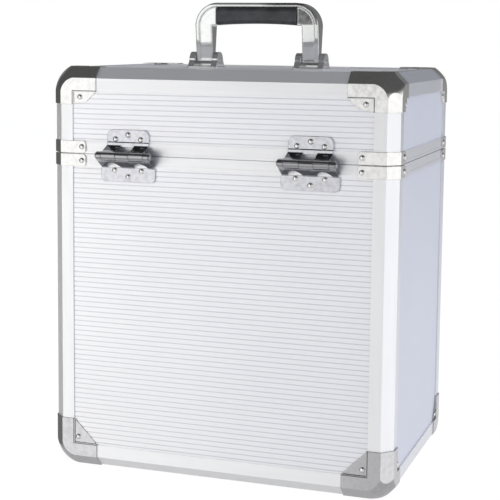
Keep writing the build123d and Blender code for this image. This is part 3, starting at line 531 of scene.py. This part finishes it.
# ---------------------------------------------------------------------- modelling
class Bench:
    """Modelling steps that the sub-assemblies share."""

    RIVET_SIDES = 20
    RIVET_RIM = 0.2
    DOME_TURNS = (0.0, 18.0, 36.0, 54.0, 70.0, 82.0)
    SHANK_SPREAD = 0.59
    TAIL_SPREAD = 1.6
    TAIL_HEIGHT = 0.0008

    @staticmethod
    def clear() -> None:
        """Leaves edit mode and deselects everything."""
        if bpy.context.object is not None and bpy.context.object.mode != "OBJECT":
            bpy.ops.object.mode_set(mode="OBJECT")
        bpy.ops.object.select_all(action="DESELECT")

    @staticmethod
    def take(name: str) -> bpy.types.Object:
        """Names the primitive just added and moves its place into its mesh."""
        piece = bpy.context.object
        piece.name = name
        piece.data.name = name
        bpy.ops.object.transform_apply(location=True, rotation=True, scale=True)
        return piece

    @staticmethod
    def block(name: str, low: Vector, high: Vector) -> bpy.types.Object:
        """Adds a box primitive.

        Args:
            name: Name of the new piece.
            low: Its lowest corner.
            high: Its highest corner.

        Returns:
            The new piece, at the origin.
        """
        Bench.clear()
        bpy.ops.mesh.primitive_cube_add(size=1.0, location=(low + high) / 2, scale=high - low)
        return Bench.take(name)

    @staticmethod
    def edit(piece: bpy.types.Object, element: Element) -> None:
        """Opens a piece in edit mode with nothing selected."""
        Bench.clear()
        piece.select_set(True)
        bpy.context.view_layer.objects.active = piece
        bpy.ops.object.mode_set(mode="EDIT")
        bpy.ops.mesh.select_mode(type=element.value)
        bpy.ops.mesh.select_all(action="DESELECT")

    @staticmethod
    def pick(piece: bpy.types.Object, element: Element, test: PlaceTest) -> None:
        """Selects what passes a test, and nothing else, in edit mode.

        Args:
            piece: The piece being edited.
            element: Whether vertices, edges or faces are tested.
            test: Takes the middle and the direction: a face's normal, an edge's run.
        """
        bpy.ops.mesh.select_mode(type=element.value)
        bpy.ops.mesh.select_all(action="DESELECT")
        mesh = bmesh.from_edit_mesh(piece.data)
        if element is Element.FACE:
            items = [(f, f.calc_center_median(), f.normal) for f in mesh.faces]
        elif element is Element.EDGE:
            ends = [(e, e.verts[0].co, e.verts[1].co) for e in mesh.edges]
            items = [(e, (start + end) / 2, (end - start).normalized()) for e, start, end in ends]
        else:
            items = [(v, v.co, v.normal) for v in mesh.verts]
        for item, middle, direction in items:
            if test(middle, direction):
                item.select_set(True)
        mesh.select_flush_mode()
        bmesh.update_edit_mesh(piece.data)

    @staticmethod
    def leave(angle: float = 30.0) -> bpy.types.Object:
        """Leaves edit mode and smooths all but the sharp edges, by their angle."""
        bpy.ops.object.mode_set(mode="OBJECT")
        bpy.ops.object.shade_smooth_by_angle(angle=math.radians(angle))
        return bpy.context.object

    @staticmethod
    def bevel(width: float, segments: int) -> None:
        """Rounds the selected edges."""
        bpy.ops.mesh.bevel(offset=width, segments=segments, profile=0.5, affect="EDGES")

    @staticmethod
    def apply(piece: bpy.types.Object, kind: str, **settings: object) -> None:
        """Adds a modifier and applies it.

        Args:
            piece: The piece.
            kind: The modifier's type.
            **settings: Its settings.
        """
        Bench.clear()
        piece.select_set(True)
        bpy.context.view_layer.objects.active = piece
        modifier = piece.modifiers.new(kind.lower(), kind)
        for key, value in settings.items():
            setattr(modifier, key, value)
        bpy.ops.object.modifier_apply(modifier=modifier.name)

    @staticmethod
    def copies(
        master: bpy.types.Object, name: str, places: Iterable[tuple[Vector, Vector]]
    ) -> bpy.types.Object:
        """Sets copies of a master in place, each with its own mesh, and joins them.

        Args:
            master: The master, standing on the origin and pointing up.
            name: Name of the joined piece.
            places: Where each copy stands, and the way it points.

        Returns:
            The joined piece; the master is removed.
        """
        made = []
        for place, outward in places:
            Bench.clear()
            master.select_set(True)
            bpy.context.view_layer.objects.active = master
            bpy.ops.object.duplicate(linked=False)
            copy = bpy.context.object
            copy.matrix_world = Matrix.Translation(place) @ (
                outward.to_track_quat("Z", "Y").to_matrix().to_4x4()
            )
            bpy.ops.object.transform_apply(location=True, rotation=True, scale=True)
            made.append(copy)
        Bench.clear()
        for copy in made:
            copy.select_set(True)
        bpy.context.view_layer.objects.active = made[0]
        bpy.ops.object.join()
        joined = Bench.take(name)
        bpy.data.objects.remove(master)
        return joined

    @staticmethod
    def rivet(radius: float, height: float, length: float) -> bpy.types.Object:
        """Models a domed rivet with its shank and tail, its head standing on the origin.

        Args:
            radius: Radius of the head.
            height: Height of the head.
            length: Length of the shank, or 0 for a head alone.

        Returns:
            The rivet, pointing up.
        """
        rim = Bench.RIVET_RIM * height
        Bench.clear()
        bpy.ops.mesh.primitive_cylinder_add(
            vertices=Bench.RIVET_SIDES, radius=radius, depth=2 * rim, location=(0.0, 0.0, 0.0)
        )
        rivet = Bench.take("rivet_master")
        Bench.edit(rivet, Element.FACE)
        turns = [math.radians(angle) for angle in Bench.DOME_TURNS]
        for last, turn in zip(turns, turns[1:]):
            Bench.pick(rivet, Element.FACE, lambda at, facing: facing.z > 0.99)
            rise = (height - rim) * (math.sin(turn) - math.sin(last))
            shrink = math.cos(turn) / math.cos(last)
            bpy.ops.mesh.extrude_region_move(TRANSFORM_OT_translate={"value": (0.0, 0.0, rise)})
            bpy.ops.transform.resize(value=(shrink, shrink, 1.0))
        if length:
            steps = (
                (0.0, Bench.SHANK_SPREAD),
                (length, 1.0),
                (0.0, Bench.TAIL_SPREAD),
                (Bench.TAIL_HEIGHT, 1.0),
            )
            for drop, spread in steps:
                Bench.pick(
                    rivet, Element.FACE, lambda at, facing: facing.z < -0.99 and abs(at.x) < 1e-4
                )
                bpy.ops.mesh.extrude_region_move(
                    TRANSFORM_OT_translate={"value": (0.0, 0.0, -drop)}
                )
                bpy.ops.transform.resize(value=(spread, spread, 1.0))
        return Bench.leave(50.0)


class Wardrobe:
    """Dresses pieces and CAD nodes, and keeps count."""

    def __init__(self, nodes: dict[str, bpy.types.Object]) -> None:
        """Takes the CAD nodes by name."""
        self.nodes = nodes
        self.dressed: set[str] = set()

    def node(self, name: str, finish: Finish) -> None:
        """Puts a finish on a CAD node."""
        mesh = self.nodes[name].data
        mesh.materials.clear()
        mesh.materials.append(finish.make())
        self.dressed.add(name)

    def several(self, names: Iterable[str], finish: Finish) -> None:
        """Puts one finish on several CAD nodes."""
        for name in names:
            self.node(name, finish)

    def piece(
        self,
        piece: bpy.types.Object,
        body: str,
        slot: str,
        finish: Finish,
        replaced: Sequence[str] = (),
    ) -> None:
        """Dresses a new piece and sets it on its body.

        Args:
            piece: The piece.
            body: The body that it moves with.
            slot: The record's material slot; not used.
            finish: Its finish.
            replaced: The CAD nodes that it stands for.
        """
        piece.data.materials.clear()
        piece.data.materials.append(finish.make())
        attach(piece, body)
        if replaced:
            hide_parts(*replaced)
            self.dressed.update(replaced)
        LOG.info("%s: %d faces, on %s", piece.name, len(piece.data.polygons), body)

    def left_bare(self) -> list[str]:
        """Names the CAD nodes that nothing has dressed."""
        return sorted(set(self.nodes) - self.dressed)


# ---------------------------------------------------------------------- the shell
@dataclass
class CaseSizes:
    """Sizes that the pieces below share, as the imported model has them."""

    half_width: float = 0.175
    y_back: float = -0.124471
    y_front: float = 0.113529
    z_floor: float = 0.001
    z_seam: float = 0.318
    z_top: float = 0.4025
    flange_reach: float = 0.0227
    panel_depth: float = 0.0013

    def face(self, side: Side) -> float:
        """Gives the level of the flanges on one ribbed face."""
        return self.y_back if side is Side.HINGES else self.y_front


@dataclass
class RibbedSkin:
    """The grooved face of one wall, lying on its panel between the flanges."""

    half: Half
    side: Side
    sizes: CaseSizes
    pitch: float = 0.00495
    groove_width: float = 0.0013
    groove_depth: float = 0.0003
    proud: float = 0.00042
    thickness: float = 0.0004
    least_margin: float = 0.0012
    datum: float = field(default=0.0, init=False)

    def window(self) -> Pair:
        """Gives the lowest and highest level of the wall between its rim and its rail."""
        rim_low, rim_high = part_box(f"{self.half.value}_rim")
        if self.half is Half.BASE:
            return self.sizes.z_floor + self.sizes.flange_reach, rim_low.z
        return rim_high.z, self.sizes.z_top - self.sizes.flange_reach

    def build(self) -> bpy.types.Object:
        """Models the skin: a grid whose cross lines are pressed in as grooves.

        Returns:
            The skin.
        """
        low, high = self.window()
        outward = self.side.value
        level = self.sizes.face(self.side) - outward * (self.sizes.panel_depth - self.proud)
        width = 2 * (self.sizes.half_width - self.sizes.flange_reach)
        rows = int((high - low - 2 * self.least_margin) / self.pitch)
        first = (low + high - rows * self.pitch) / 2
        self.datum = first
        name = f"{self.half.value}_{'back' if outward < 0 else 'front'}_ribbed_skin"
        Bench.clear()
        bpy.ops.mesh.primitive_grid_add(
            x_subdivisions=1,
            y_subdivisions=rows,
            size=1.0,
            location=(0.0, level, (low + high) / 2),
            rotation=(-outward * math.pi / 2, 0.0, 0.0),
        )
        bpy.context.object.scale = (width, rows * self.pitch, 1.0)
        skin = Bench.take(name)
        Bench.edit(skin, Element.EDGE)
        for end, reach in ((first, low - first), (first + rows * self.pitch, first - low)):
            Bench.pick(
                skin, Element.EDGE, lambda at, run: abs(run.x) > 0.9 and abs(at.z - end) < 1e-5
            )
            bpy.ops.mesh.extrude_region_move(TRANSFORM_OT_translate={"value": (0.0, 0.0, reach)})
        Bench.pick(
            skin,
            Element.EDGE,
            lambda at, run: abs(run.x) > 0.9 and low + 1e-5 < at.z < high - 1e-5,
        )
        Bench.bevel(self.groove_width / 2, 2)
        Bench.pick(skin, Element.VERTEX, lambda at, _: self.on_line(at.z, low, high))
        bpy.ops.transform.translate(value=(0.0, -outward * self.groove_depth, 0.0))
        Bench.leave(15.0)
        Bench.apply(skin, "SOLIDIFY", thickness=self.thickness, offset=-1.0)
        bpy.ops.object.shade_smooth_by_angle(angle=math.radians(15.0))
        return skin

    def on_line(self, level: float, low: float, high: float) -> bool:
        """Tells whether a level is the middle of a groove."""
        turns = (level - self.datum) / self.pitch
        return abs(turns - round(turns)) < 0.02 and low + 1e-5 < level < high - 1e-5

    def dress(self, skin: bpy.types.Object, wardrobe: Wardrobe) -> None:
        """Puts the ribbed laminate on the skin and sets it on its half of the case."""
        finish = RibbedLaminate(
            f"ribbed laminate {self.half.value}", pitch=self.pitch, datum=self.datum
        )
        wardrobe.piece(skin, self.half.value, "panel_laminate", finish)


@dataclass
class Shell:
    """Panels, edge extrusions and rims of both halves."""

    sizes: CaseSizes

    def build(self, wardrobe: Wardrobe) -> None:
        """Dresses the extrusions and panels and lays the ribbed skins."""
        along_x = DrawnAluminium("aluminium along x", grain=Grain.ALONG_X)
        along_y = DrawnAluminium("aluminium along y", grain=Grain.ALONG_Y)
        along_z = DrawnAluminium("aluminium along z", grain=Grain.ALONG_Z)
        laminate = Laminate("smooth laminate")
        for half in Half:
            prefix = half.value
            for face in ("back", "front"):
                wardrobe.node(f"{prefix}_{face}_rail", along_x)
                for hand in ("left", "right"):
                    wardrobe.node(f"{prefix}_{face}_{hand}_post", along_z)
            wardrobe.several((f"{prefix}_left_rail", f"{prefix}_right_rail"), along_y)
            wardrobe.node(f"{prefix}_rim", along_x)
            walls = ("back", "front", "left", "right")
            wardrobe.several((f"{prefix}_{face}_panel" for face in walls), laminate)
        wardrobe.several(("base_floor_panel", "lid_top_panel"), laminate)
        for half in Half:
            for side in Side:
                skin = RibbedSkin(half, side, self.sizes)
                skin.dress(skin.build(), wardrobe)


@dataclass
class CornerWork:
    """Corner caps, seam wraps and the domed rivets that hold them."""

    sizes: CaseSizes
    ear_depth: float = 0.0003
    ear_side_inset: float = 0.0285
    base_ear: Pair = (0.0275, 0.0295)
    lid_ear: Pair = (0.0305, 0.0288)
    wrap_inset: float = 0.033
    wrap_side_inset: float = 0.0245
    wrap_rise: float = 0.0068
    wrap_sheet: float = 0.001
    rivet_radius: float = 0.0027
    rivet_height: float = 0.0013

    def ear_places(self, half: Half) -> list[tuple[Vector, Vector]]:
        """Gives where the rivets of the cap ears stand on one half, and which way."""
        s = self.sizes
        depth, aside = self.ear_depth, self.ear_side_inset
        outer = s.z_floor if half is Half.BASE else s.z_top
        up = 1 if half is Half.BASE else -1
        inset, rise = self.base_ear if half is Half.BASE else self.lid_ear
        places = []
        for x in (-1, 1):
            for y, face, inward in ((-1, s.y_back, 1), (1, s.y_front, -1)):
                places.append((
                    Vector((x * (s.half_width - inset), face + inward * depth, outer + up * rise)),
                    Vector((0, y, 0)),
                ))
                places.append((
                    Vector((x * (s.half_width - depth), face + inward * aside, outer + up * rise)),
                    Vector((x, 0, 0)),
                ))
                places.append((
                    Vector((x * (s.half_width - inset), face + inward * aside, outer + up * depth)),
                    Vector((0, 0, -up)),
                ))
        return places

    def wrap_places(self, half: Half) -> list[tuple[Vector, Vector]]:
        """Gives where the rivets of the seam wraps stand on one half, and which way."""
        s = self.sizes
        level = s.z_seam + (-self.wrap_rise if half is Half.BASE else self.wrap_rise)
        places = []
        for x in (-1, 1):
            for y, face, inward in ((-1, s.y_back, 1), (1, s.y_front, -1)):
                across = x * (s.half_width - self.wrap_inset)
                out = x * (s.half_width + self.wrap_sheet)
                along = face + inward * self.wrap_side_inset
                raised = face + y * self.wrap_sheet
                places.append((Vector((across, raised, level)), Vector((0, y, 0))))
                places.append((Vector((out, along, level)), Vector((x, 0, 0))))
        return places

    def build(self, wardrobe: Wardrobe) -> None:
        """Dresses the caps and wraps and sets their rivets."""
        tones = {"light": (0.85, 0.845, 0.83), "dark": (0.77, 0.765, 0.75)}
        lid_plate = CapPlate("lid corner plate", smooth=0.10, dull=0.20, wave=0.00012, **tones)
        # painted shade: the base caps are the same plate as the lid caps, coloured darker
        base_plate_painted_shade = CapPlate(
            "base corner plate with painted shade", smooth=0.10, dull=0.20, wave=0.00012,
            light=(0.60, 0.595, 0.615), dark=(0.53, 0.525, 0.545),
        )
        wrap_plate = BrightPlate("wrap plate", smooth=0.10, dull=0.20, wave=0.00012, **tones)
        for half in Half:
            prefix = half.value
            cap_plate = base_plate_painted_shade if half is Half.BASE else lid_plate
            for face in ("back", "front"):
                for hand in ("left", "right"):
                    wardrobe.node(f"{prefix}_{face}_{hand}_corner_cap", cap_plate)
            wardrobe.node(f"{prefix}_seam_wraps", wrap_plate)
            places = self.ear_places(half) + self.wrap_places(half)
            head = Bench.rivet(self.rivet_radius, self.rivet_height, 0.0)
            rivets = Bench.copies(head, f"{prefix}_corner_rivets", places)
            wardrobe.piece(rivets, prefix, "rivet_steel", RIVET_PLATE)


# ---------------------------------------------------------------------- the lining
@dataclass
class FoamLining:
    """Foam walls and pad inside one half of the case."""

    half: Half
    sizes: CaseSizes
    wall: float = 0.0029
    pad_height: float = 0.006
    corner_cut: float = 0.0425
    upright_round: float = 0.005
    lip_round: float = 0.0010
    pad_gap: float = 0.0004
    pad_corner: float = 0.020
    crown: float = 0.0009
    crown_steps: Points = ((0.0012, 0.45), (0.003, 0.33), (0.005, 0.16), (0.008, 0.06))

    def walls(self) -> bpy.types.Object:
        """Models the foam walls as an open tray with rounded edges.

        Returns:
            The tray.
        """
        low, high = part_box(f"{self.half.value}_lining")
        base = self.half is Half.BASE
        closed = -1.0 if base else 1.0
        tray = Bench.block(f"{self.half.value}_foam_walls", low, high)
        Bench.edit(tray, Element.FACE)
        s = self.sizes
        outer = s.z_floor if base else s.z_top
        for x in (-1, 1):
            for y, face in ((-1, s.y_back), (1, s.y_front)):
                outward = Vector((x, y, closed)).normalized()
                corner = Vector((x * s.half_width, face, outer))
                bpy.ops.mesh.select_all(action="SELECT")
                bpy.ops.mesh.bisect(
                    plane_co=corner - outward * (self.corner_cut / math.sqrt(3)),
                    plane_no=outward,
                    use_fill=True,
                    clear_outer=True,
                )
        Bench.pick(tray, Element.FACE, lambda at, facing: facing.z * closed < -0.9)
        bpy.ops.mesh.delete(type="FACE")
        Bench.pick(tray, Element.EDGE, lambda at, run: abs(run.z) > 0.9)
        Bench.bevel(self.upright_round, 4)
        Bench.leave()
        Bench.apply(tray, "SOLIDIFY", thickness=self.wall, offset=-1.0, use_even_offset=True)
        mouth = high.z if base else low.z
        Bench.edit(tray, Element.EDGE)
        Bench.pick(
            tray,
            Element.EDGE,
            lambda at, run: abs(run.z) < 0.1 and abs(at.z - mouth) < 1e-5
            and not self.crosses_wall(at, low, high),
        )
        Bench.bevel(self.lip_round, 3)
        return Bench.leave(40.0)

    def crosses_wall(self, at: Vector, low: Vector, high: Vector) -> bool:
        """Tells whether an edge of the mouth runs from the wall's outside to its inside."""
        half_run = self.wall / 2
        depth = min(at.x - low.x, high.x - at.x, at.y - low.y, high.y - at.y)
        return abs(depth - half_run) < half_run * 0.6

    def pad(self) -> bpy.types.Object:
        """Models the pad under or over the records, crowned between its edges.

        Returns:
            The pad.
        """
        low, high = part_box(f"{self.half.value}_lining")
        base = self.half is Half.BASE
        side = self.wall + self.pad_gap
        inner = Vector((low.x + side, low.y + side, low.z + self.wall + self.pad_gap))
        outer = Vector((high.x - side, high.y - side, low.z + self.pad_height))
        if not base:
            inner.z, outer.z = high.z - self.pad_height, high.z - self.wall - self.pad_gap
        facing_in = 1.0 if base else -1.0
        pad = Bench.block(f"{self.half.value}_foam_pad", inner, outer)
        Bench.edit(pad, Element.EDGE)
        Bench.pick(pad, Element.EDGE, lambda at, run: abs(run.z) > 0.9)
        Bench.bevel(self.pad_corner, 5)
        Bench.pick(pad, Element.FACE, lambda at, facing: facing.z * facing_in > 0.9)
        for thickness, rise in self.crown_steps:
            bpy.ops.mesh.inset(thickness=thickness, depth=0.0)
            bpy.ops.transform.translate(value=(0.0, 0.0, facing_in * rise * self.crown))
        bpy.ops.mesh.select_all(action="SELECT")
        return Bench.leave(60.0)

    def build(self, wardrobe: Wardrobe) -> None:
        """Makes both foam pieces in place of the plain lining."""
        foam = NappedFoam("napped foam")
        node = f"{self.half.value}_lining"
        for piece in (self.walls(), self.pad()):
            wardrobe.piece(piece, self.half.value, "black_foam", foam, (node,))


# ---------------------------------------------------------------------- ironwork
@dataclass
class PlateRivets:
    """The rivets of the hinges and latches, by their places on the leaves and plates."""

    sizes: CaseSizes
    middle: float = 0.0925
    leaf_face: float = 0.0002
    radius: float = 0.0027
    height: float = 0.0013
    length: float = 0.0045
    hinge_base: Points = ((-0.0143, -0.015), (0.0143, -0.015), (0.0, -0.021))
    hinge_lid: Points = ((-0.0133, 0.0156), (0.0133, 0.0156), (0.0, 0.020))
    latch_base: Points = ((-0.009, -0.035), (0.009, -0.035), (0.0, -0.021))
    latch_lid: Points = ((-0.007, 0.020), (0.007, 0.020))

    def places(self, half: Half) -> list[tuple[Vector, Vector]]:
        """Gives where the rivets stand on one half, and which way they point."""
        base = half is Half.BASE
        rows = (
            (Side.HINGES, self.hinge_base if base else self.hinge_lid),
            (Side.LATCHES, self.latch_base if base else self.latch_lid),
        )
        places = []
        for side, points in rows:
            level = self.sizes.face(side) + side.value * self.leaf_face
            for hand in (-1, 1):
                for across, rise in points:
                    spot = Vector((hand * self.middle + across, level, self.sizes.z_seam + rise))
                    places.append((spot, Vector((0, side.value, 0))))
        return places

    def build(self, wardrobe: Wardrobe) -> None:
        """Makes the rivets of both halves in place of the plain ones."""
        for half in Half:
            master = Bench.rivet(self.radius, self.height, self.length)
            name = f"{half.value}_plate_rivets"
            rivets = Bench.copies(master, name, self.places(half))
            wardrobe.piece(
                rivets, half.value, "rivet_steel", RIVET_PLATE, (f"{half.value}_rivets",)
            )


@dataclass
class Hinges:
    """The two stop hinges."""

    def build(self, wardrobe: Wardrobe) -> None:
        """Dresses leaves and pins."""
        leaf = HingePlate("hinge plate", light=(0.64, 0.64, 0.675), dark=(0.54, 0.54, 0.58),
                          smooth=0.08, dull=0.18, wave=0.00006)
        for hand in ("left", "right"):
            wardrobe.several((f"hinge_base_leaf_{hand}", f"hinge_lid_leaf_{hand}"), leaf)
        wardrobe.node("hinge_pins", leaf)


@dataclass
class Latches:
    """The two draw latches."""

    def build(self, wardrobe: Wardrobe) -> None:
        """Dresses plates, levers, claws, pins and catches."""
        plate = BrightPlate("latch plate", smooth=0.08, dull=0.2, wave=0.00008)
        wardrobe.several(("latch_plates", "latch_catches", "latch_lever_pins"), plate)
        for hand in ("left", "right"):
            wardrobe.several(
                (f"latch_lever_{hand}", f"latch_claw_{hand}", f"claw_pin_{hand}"), plate
            )


@dataclass
class Handle:
    """The folding carrying handle."""

    def build(self, wardrobe: Wardrobe) -> None:
        """Dresses bow, grip, brackets and pins."""
        chrome = BowPlate("bow plate", light=(0.82, 0.83, 0.82), dark=(0.77, 0.78, 0.77),
                          smooth=0.04, dull=0.08, wave=0.0004, wave_scale=22.0, rounding=0.0024)
        wardrobe.node("handle_bow", chrome)
        bracket = BrightPlate("bracket plate", smooth=0.06, dull=0.14, metal=0.85, rounding=0.0008)
        wardrobe.several(("handle_brackets", "handle_pins"), bracket)
        wardrobe.node("handle_grip", MouldedPlastic("grip plastic"))


# ---------------------------------------------------------------------- the studio
@dataclass(frozen=True)
class Viewpoint:
    """The camera that took the photograph."""

    place: Triple = (0.43645, -1.29823, 0.43451)
    yaw: float = 0.33090
    pitch: float = 0.11070
    roll: float = 0.01000
    lens: float = 95.111
    shift_y: float = -0.13374

    def build(self) -> None:
        """Makes it the scene's camera."""
        ahead = Vector((
            -math.sin(self.yaw) * math.cos(self.pitch),
            math.cos(self.yaw) * math.cos(self.pitch),
            -math.sin(self.pitch),
        ))
        right = Vector((math.cos(self.yaw), math.sin(self.yaw), 0.0))
        up = right.cross(ahead)
        tilted = math.cos(self.roll) * right + math.sin(self.roll) * up
        over = -math.sin(self.roll) * right + math.cos(self.roll) * up
        turn = Matrix((tilted, over, -ahead)).transposed()
        data = bpy.data.cameras.new("camera")
        data.sensor_width = 36.0
        data.lens = self.lens
        data.shift_y = self.shift_y
        data.clip_start = 0.05
        camera = bpy.data.objects.new("camera", data)
        bpy.context.scene.collection.objects.link(camera)
        camera.location = self.place
        camera.rotation_euler = turn.to_euler()
        bpy.context.scene.camera = camera


@dataclass(frozen=True)
class Softbox:
    """A square soft lamp aimed at the case."""

    name: str
    place: Triple
    size: float
    watts: float
    colour: Triple = (1.0, 1.0, 1.0)
    aim: Triple = (0.0, 0.0, 0.2)

    def build(self) -> None:
        """Hangs the lamp."""
        data = bpy.data.lights.new(self.name, "AREA")
        data.shape = "SQUARE"
        data.size = self.size
        data.energy = self.watts
        data.color = self.colour
        lamp = bpy.data.objects.new(self.name, data)
        bpy.context.scene.collection.objects.link(lamp)
        lamp.location = self.place
        toward = Vector(self.aim) - Vector(self.place)
        lamp.rotation_euler = toward.to_track_quat("-Z", "Y").to_euler()
        lamp.visible_glossy = False


@dataclass(frozen=True)
class Card:
    """A patch of the surroundings that only metal sees, such as the dark ceiling.

    Each edge gives an axis of the direction looked in, where the patch starts to show and
    where it is full. Its tone changes from the floor's level up to the eye's.
    """

    edges: tuple[tuple[str, float, float], ...]
    low_tone: float
    high_tone: float
    low: float = -0.28
    high: float = 0.0


class Shades(Tree):
    """The node tree of the world, built round one background."""

    def __init__(self) -> None:
        """Starts an empty world."""
        world = bpy.data.worlds.new("surroundings")
        bpy.context.scene.world = world
        world.use_nodes = True
        super().__init__(world.node_tree)
        split = self.add("ShaderNodeSeparateXYZ")
        self.join(self.add("ShaderNodeTexCoord").outputs["Generated"], split.inputs[0])
        self.axes = split.outputs

    def ramp(
        self, axis: str, source: Pair, target: Pair
    ) -> Socket:
        """Gives a value that turns smoothly with one axis of the direction.

        Args:
            axis: The axis.
            source: Where the turn starts and ends.
            target: The values there.

        Returns:
            The value.
        """
        return self.remap(self.axes[axis], source, target, "SMOOTHSTEP")


@dataclass
class Studio:
    """Pale floor, white surroundings, soft lamps and the camera."""

    ambient_left: Triple = (0.20, 0.15, 0.04)
    ambient_right: Triple = (0.98, 1.06, 1.34)
    overhead: float = 0.7
    glossy_white: Triple = (1.20, 1.20, 1.20)
    floor_size: float = 14.0
    floor_glow: float = 1.155
    floor_share: float = 0.80
    cards: tuple[Card, ...] = (
        Card((("X", -0.58, -0.84),), 0.20, 0.09),
        Card((("Y", 0.45, 0.75),), 0.80, 0.20, -0.22, 0.02),
        Card((("Y", -0.30, -0.60), ("X", -0.38, -0.20), ("X", 0.50, 0.30)), 0.68, 1.0),
        Card((("Y", -0.50, -0.66), ("X", 0.34, 0.50), ("X", 0.86, 0.74)), 0.22, 0.22),
        Card((("Z", -0.35, -0.65),), 0.60, 0.60),
        Card(
            (("Y", -0.5, -0.7), ("X", -0.33, -0.30), ("X", 0.30, 0.20), ("Z", -0.02, 0.01)),
            0.12, 0.12,
        ),
        Card((("Z", 0.17, 0.46),), 0.09, 0.09),
    )
    lamps: tuple[Softbox, ...] = (
        Softbox("key", (-1.05, -0.95, 0.26), 0.5, 11.8, (1.0, 0.99, 0.97)),
        Softbox("top", (0.3, 0.1, 2.2), 1.6, 6.0),
    )

    def world(self) -> None:
        """Makes surroundings that are white to the eye, soft light on the case, and in
        metal a white room with a dim ceiling, a dim left and back, and a pale floor."""
        shades = Shades()
        seen = self.glossy_white
        for card in self.cards:
            share = None
            for axis, start, full in card.edges:
                edge = shades.ramp(axis, (start, full), (0.0, 1.0))
                share = edge if share is None else shades.math("MULTIPLY", share, edge)
            tone = shades.ramp("Z", (card.low, card.high), (card.low_tone, card.high_tone))
            seen = shades.blend(share, seen, tone)
        path = shades.add("ShaderNodeLightPath").outputs
        across = shades.ramp("X", (-0.5, 0.5), (0.0, 1.0))
        around = shades.blend(across, self.ambient_left, self.ambient_right)
        above = shades.ramp("Z", (0.2, 0.7), (0.0, 1.0 - self.overhead))
        ambient = shades.blend(above, around, (0.0, 0.0, 0.0))
        lit = shades.blend(path["Is Glossy Ray"], ambient, seen)
        straight = shades.math("MAXIMUM", path["Is Camera Ray"], path["Is Transmission Ray"])
        shown = shades.blend(straight, lit, (1.0, 1.0, 1.0))
        background = shades.add("ShaderNodeBackground")
        shades.join(shown, background.inputs["Color"])
        output = shades.add("ShaderNodeOutputWorld")
        shades.join(background.outputs[0], output.inputs["Surface"])

    def floor(self) -> None:
        """Lays a white floor that keeps the shadow of the case."""
        Bench.clear()
        bpy.ops.mesh.primitive_plane_add(size=self.floor_size, location=(0.0, 0.0, 0.0))
        floor = Bench.take("floor")
        recipe = Recipe("floor")
        recipe.constants(Roughness=0.9, Specular_IOR_Level=0.1)
        recipe.colours(recipe.noise(3.0, 2.0), (0.86, 0.86, 0.86), (0.84, 0.84, 0.845))
        glow = recipe.add("ShaderNodeEmission")
        glow.inputs["Strength"].default_value = self.floor_glow
        mix = recipe.add("ShaderNodeMixShader")
        path = recipe.add("ShaderNodeLightPath")
        share = recipe.math("MULTIPLY", path.outputs["Is Camera Ray"], self.floor_share)
        output = next(n for n in recipe.tree.nodes if n.type == "OUTPUT_MATERIAL")
        recipe.join(share, mix.inputs["Fac"])
        recipe.join(recipe.shader.outputs["BSDF"], mix.inputs[1])
        recipe.join(glow.outputs[0], mix.inputs[2])
        recipe.join(mix.outputs[0], output.inputs["Surface"])
        floor.data.materials.append(recipe.material)
        floor.visible_glossy = False

    def build(self) -> None:
        """Sets the studio up."""
        bpy.context.scene.view_settings.view_transform = "Standard"
        Viewpoint().build()
        self.world()
        self.floor()
        for lamp in self.lamps:
            lamp.build()


def main() -> None:
    """Builds the studio and every sub-assembly in turn."""
    logging.basicConfig(level=logging.INFO, format="%(name)s: %(message)s")
    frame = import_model()
    wardrobe = Wardrobe(frame["nodes"])
    sizes = CaseSizes()
    Studio().build()
    assemblies = (
        Shell(sizes),
        CornerWork(sizes),
        FoamLining(Half.BASE, sizes),
        FoamLining(Half.LID, sizes),
        PlateRivets(sizes),
        Hinges(),
        Latches(),
        Handle(),
    )
    for assembly in assemblies:
        assembly.build(wardrobe)
        LOG.info("%s finished", type(assembly).__name__)
    LOG.info("nodes left bare: %s", wardrobe.left_bare())


if __name__ == "__main__":
    main()
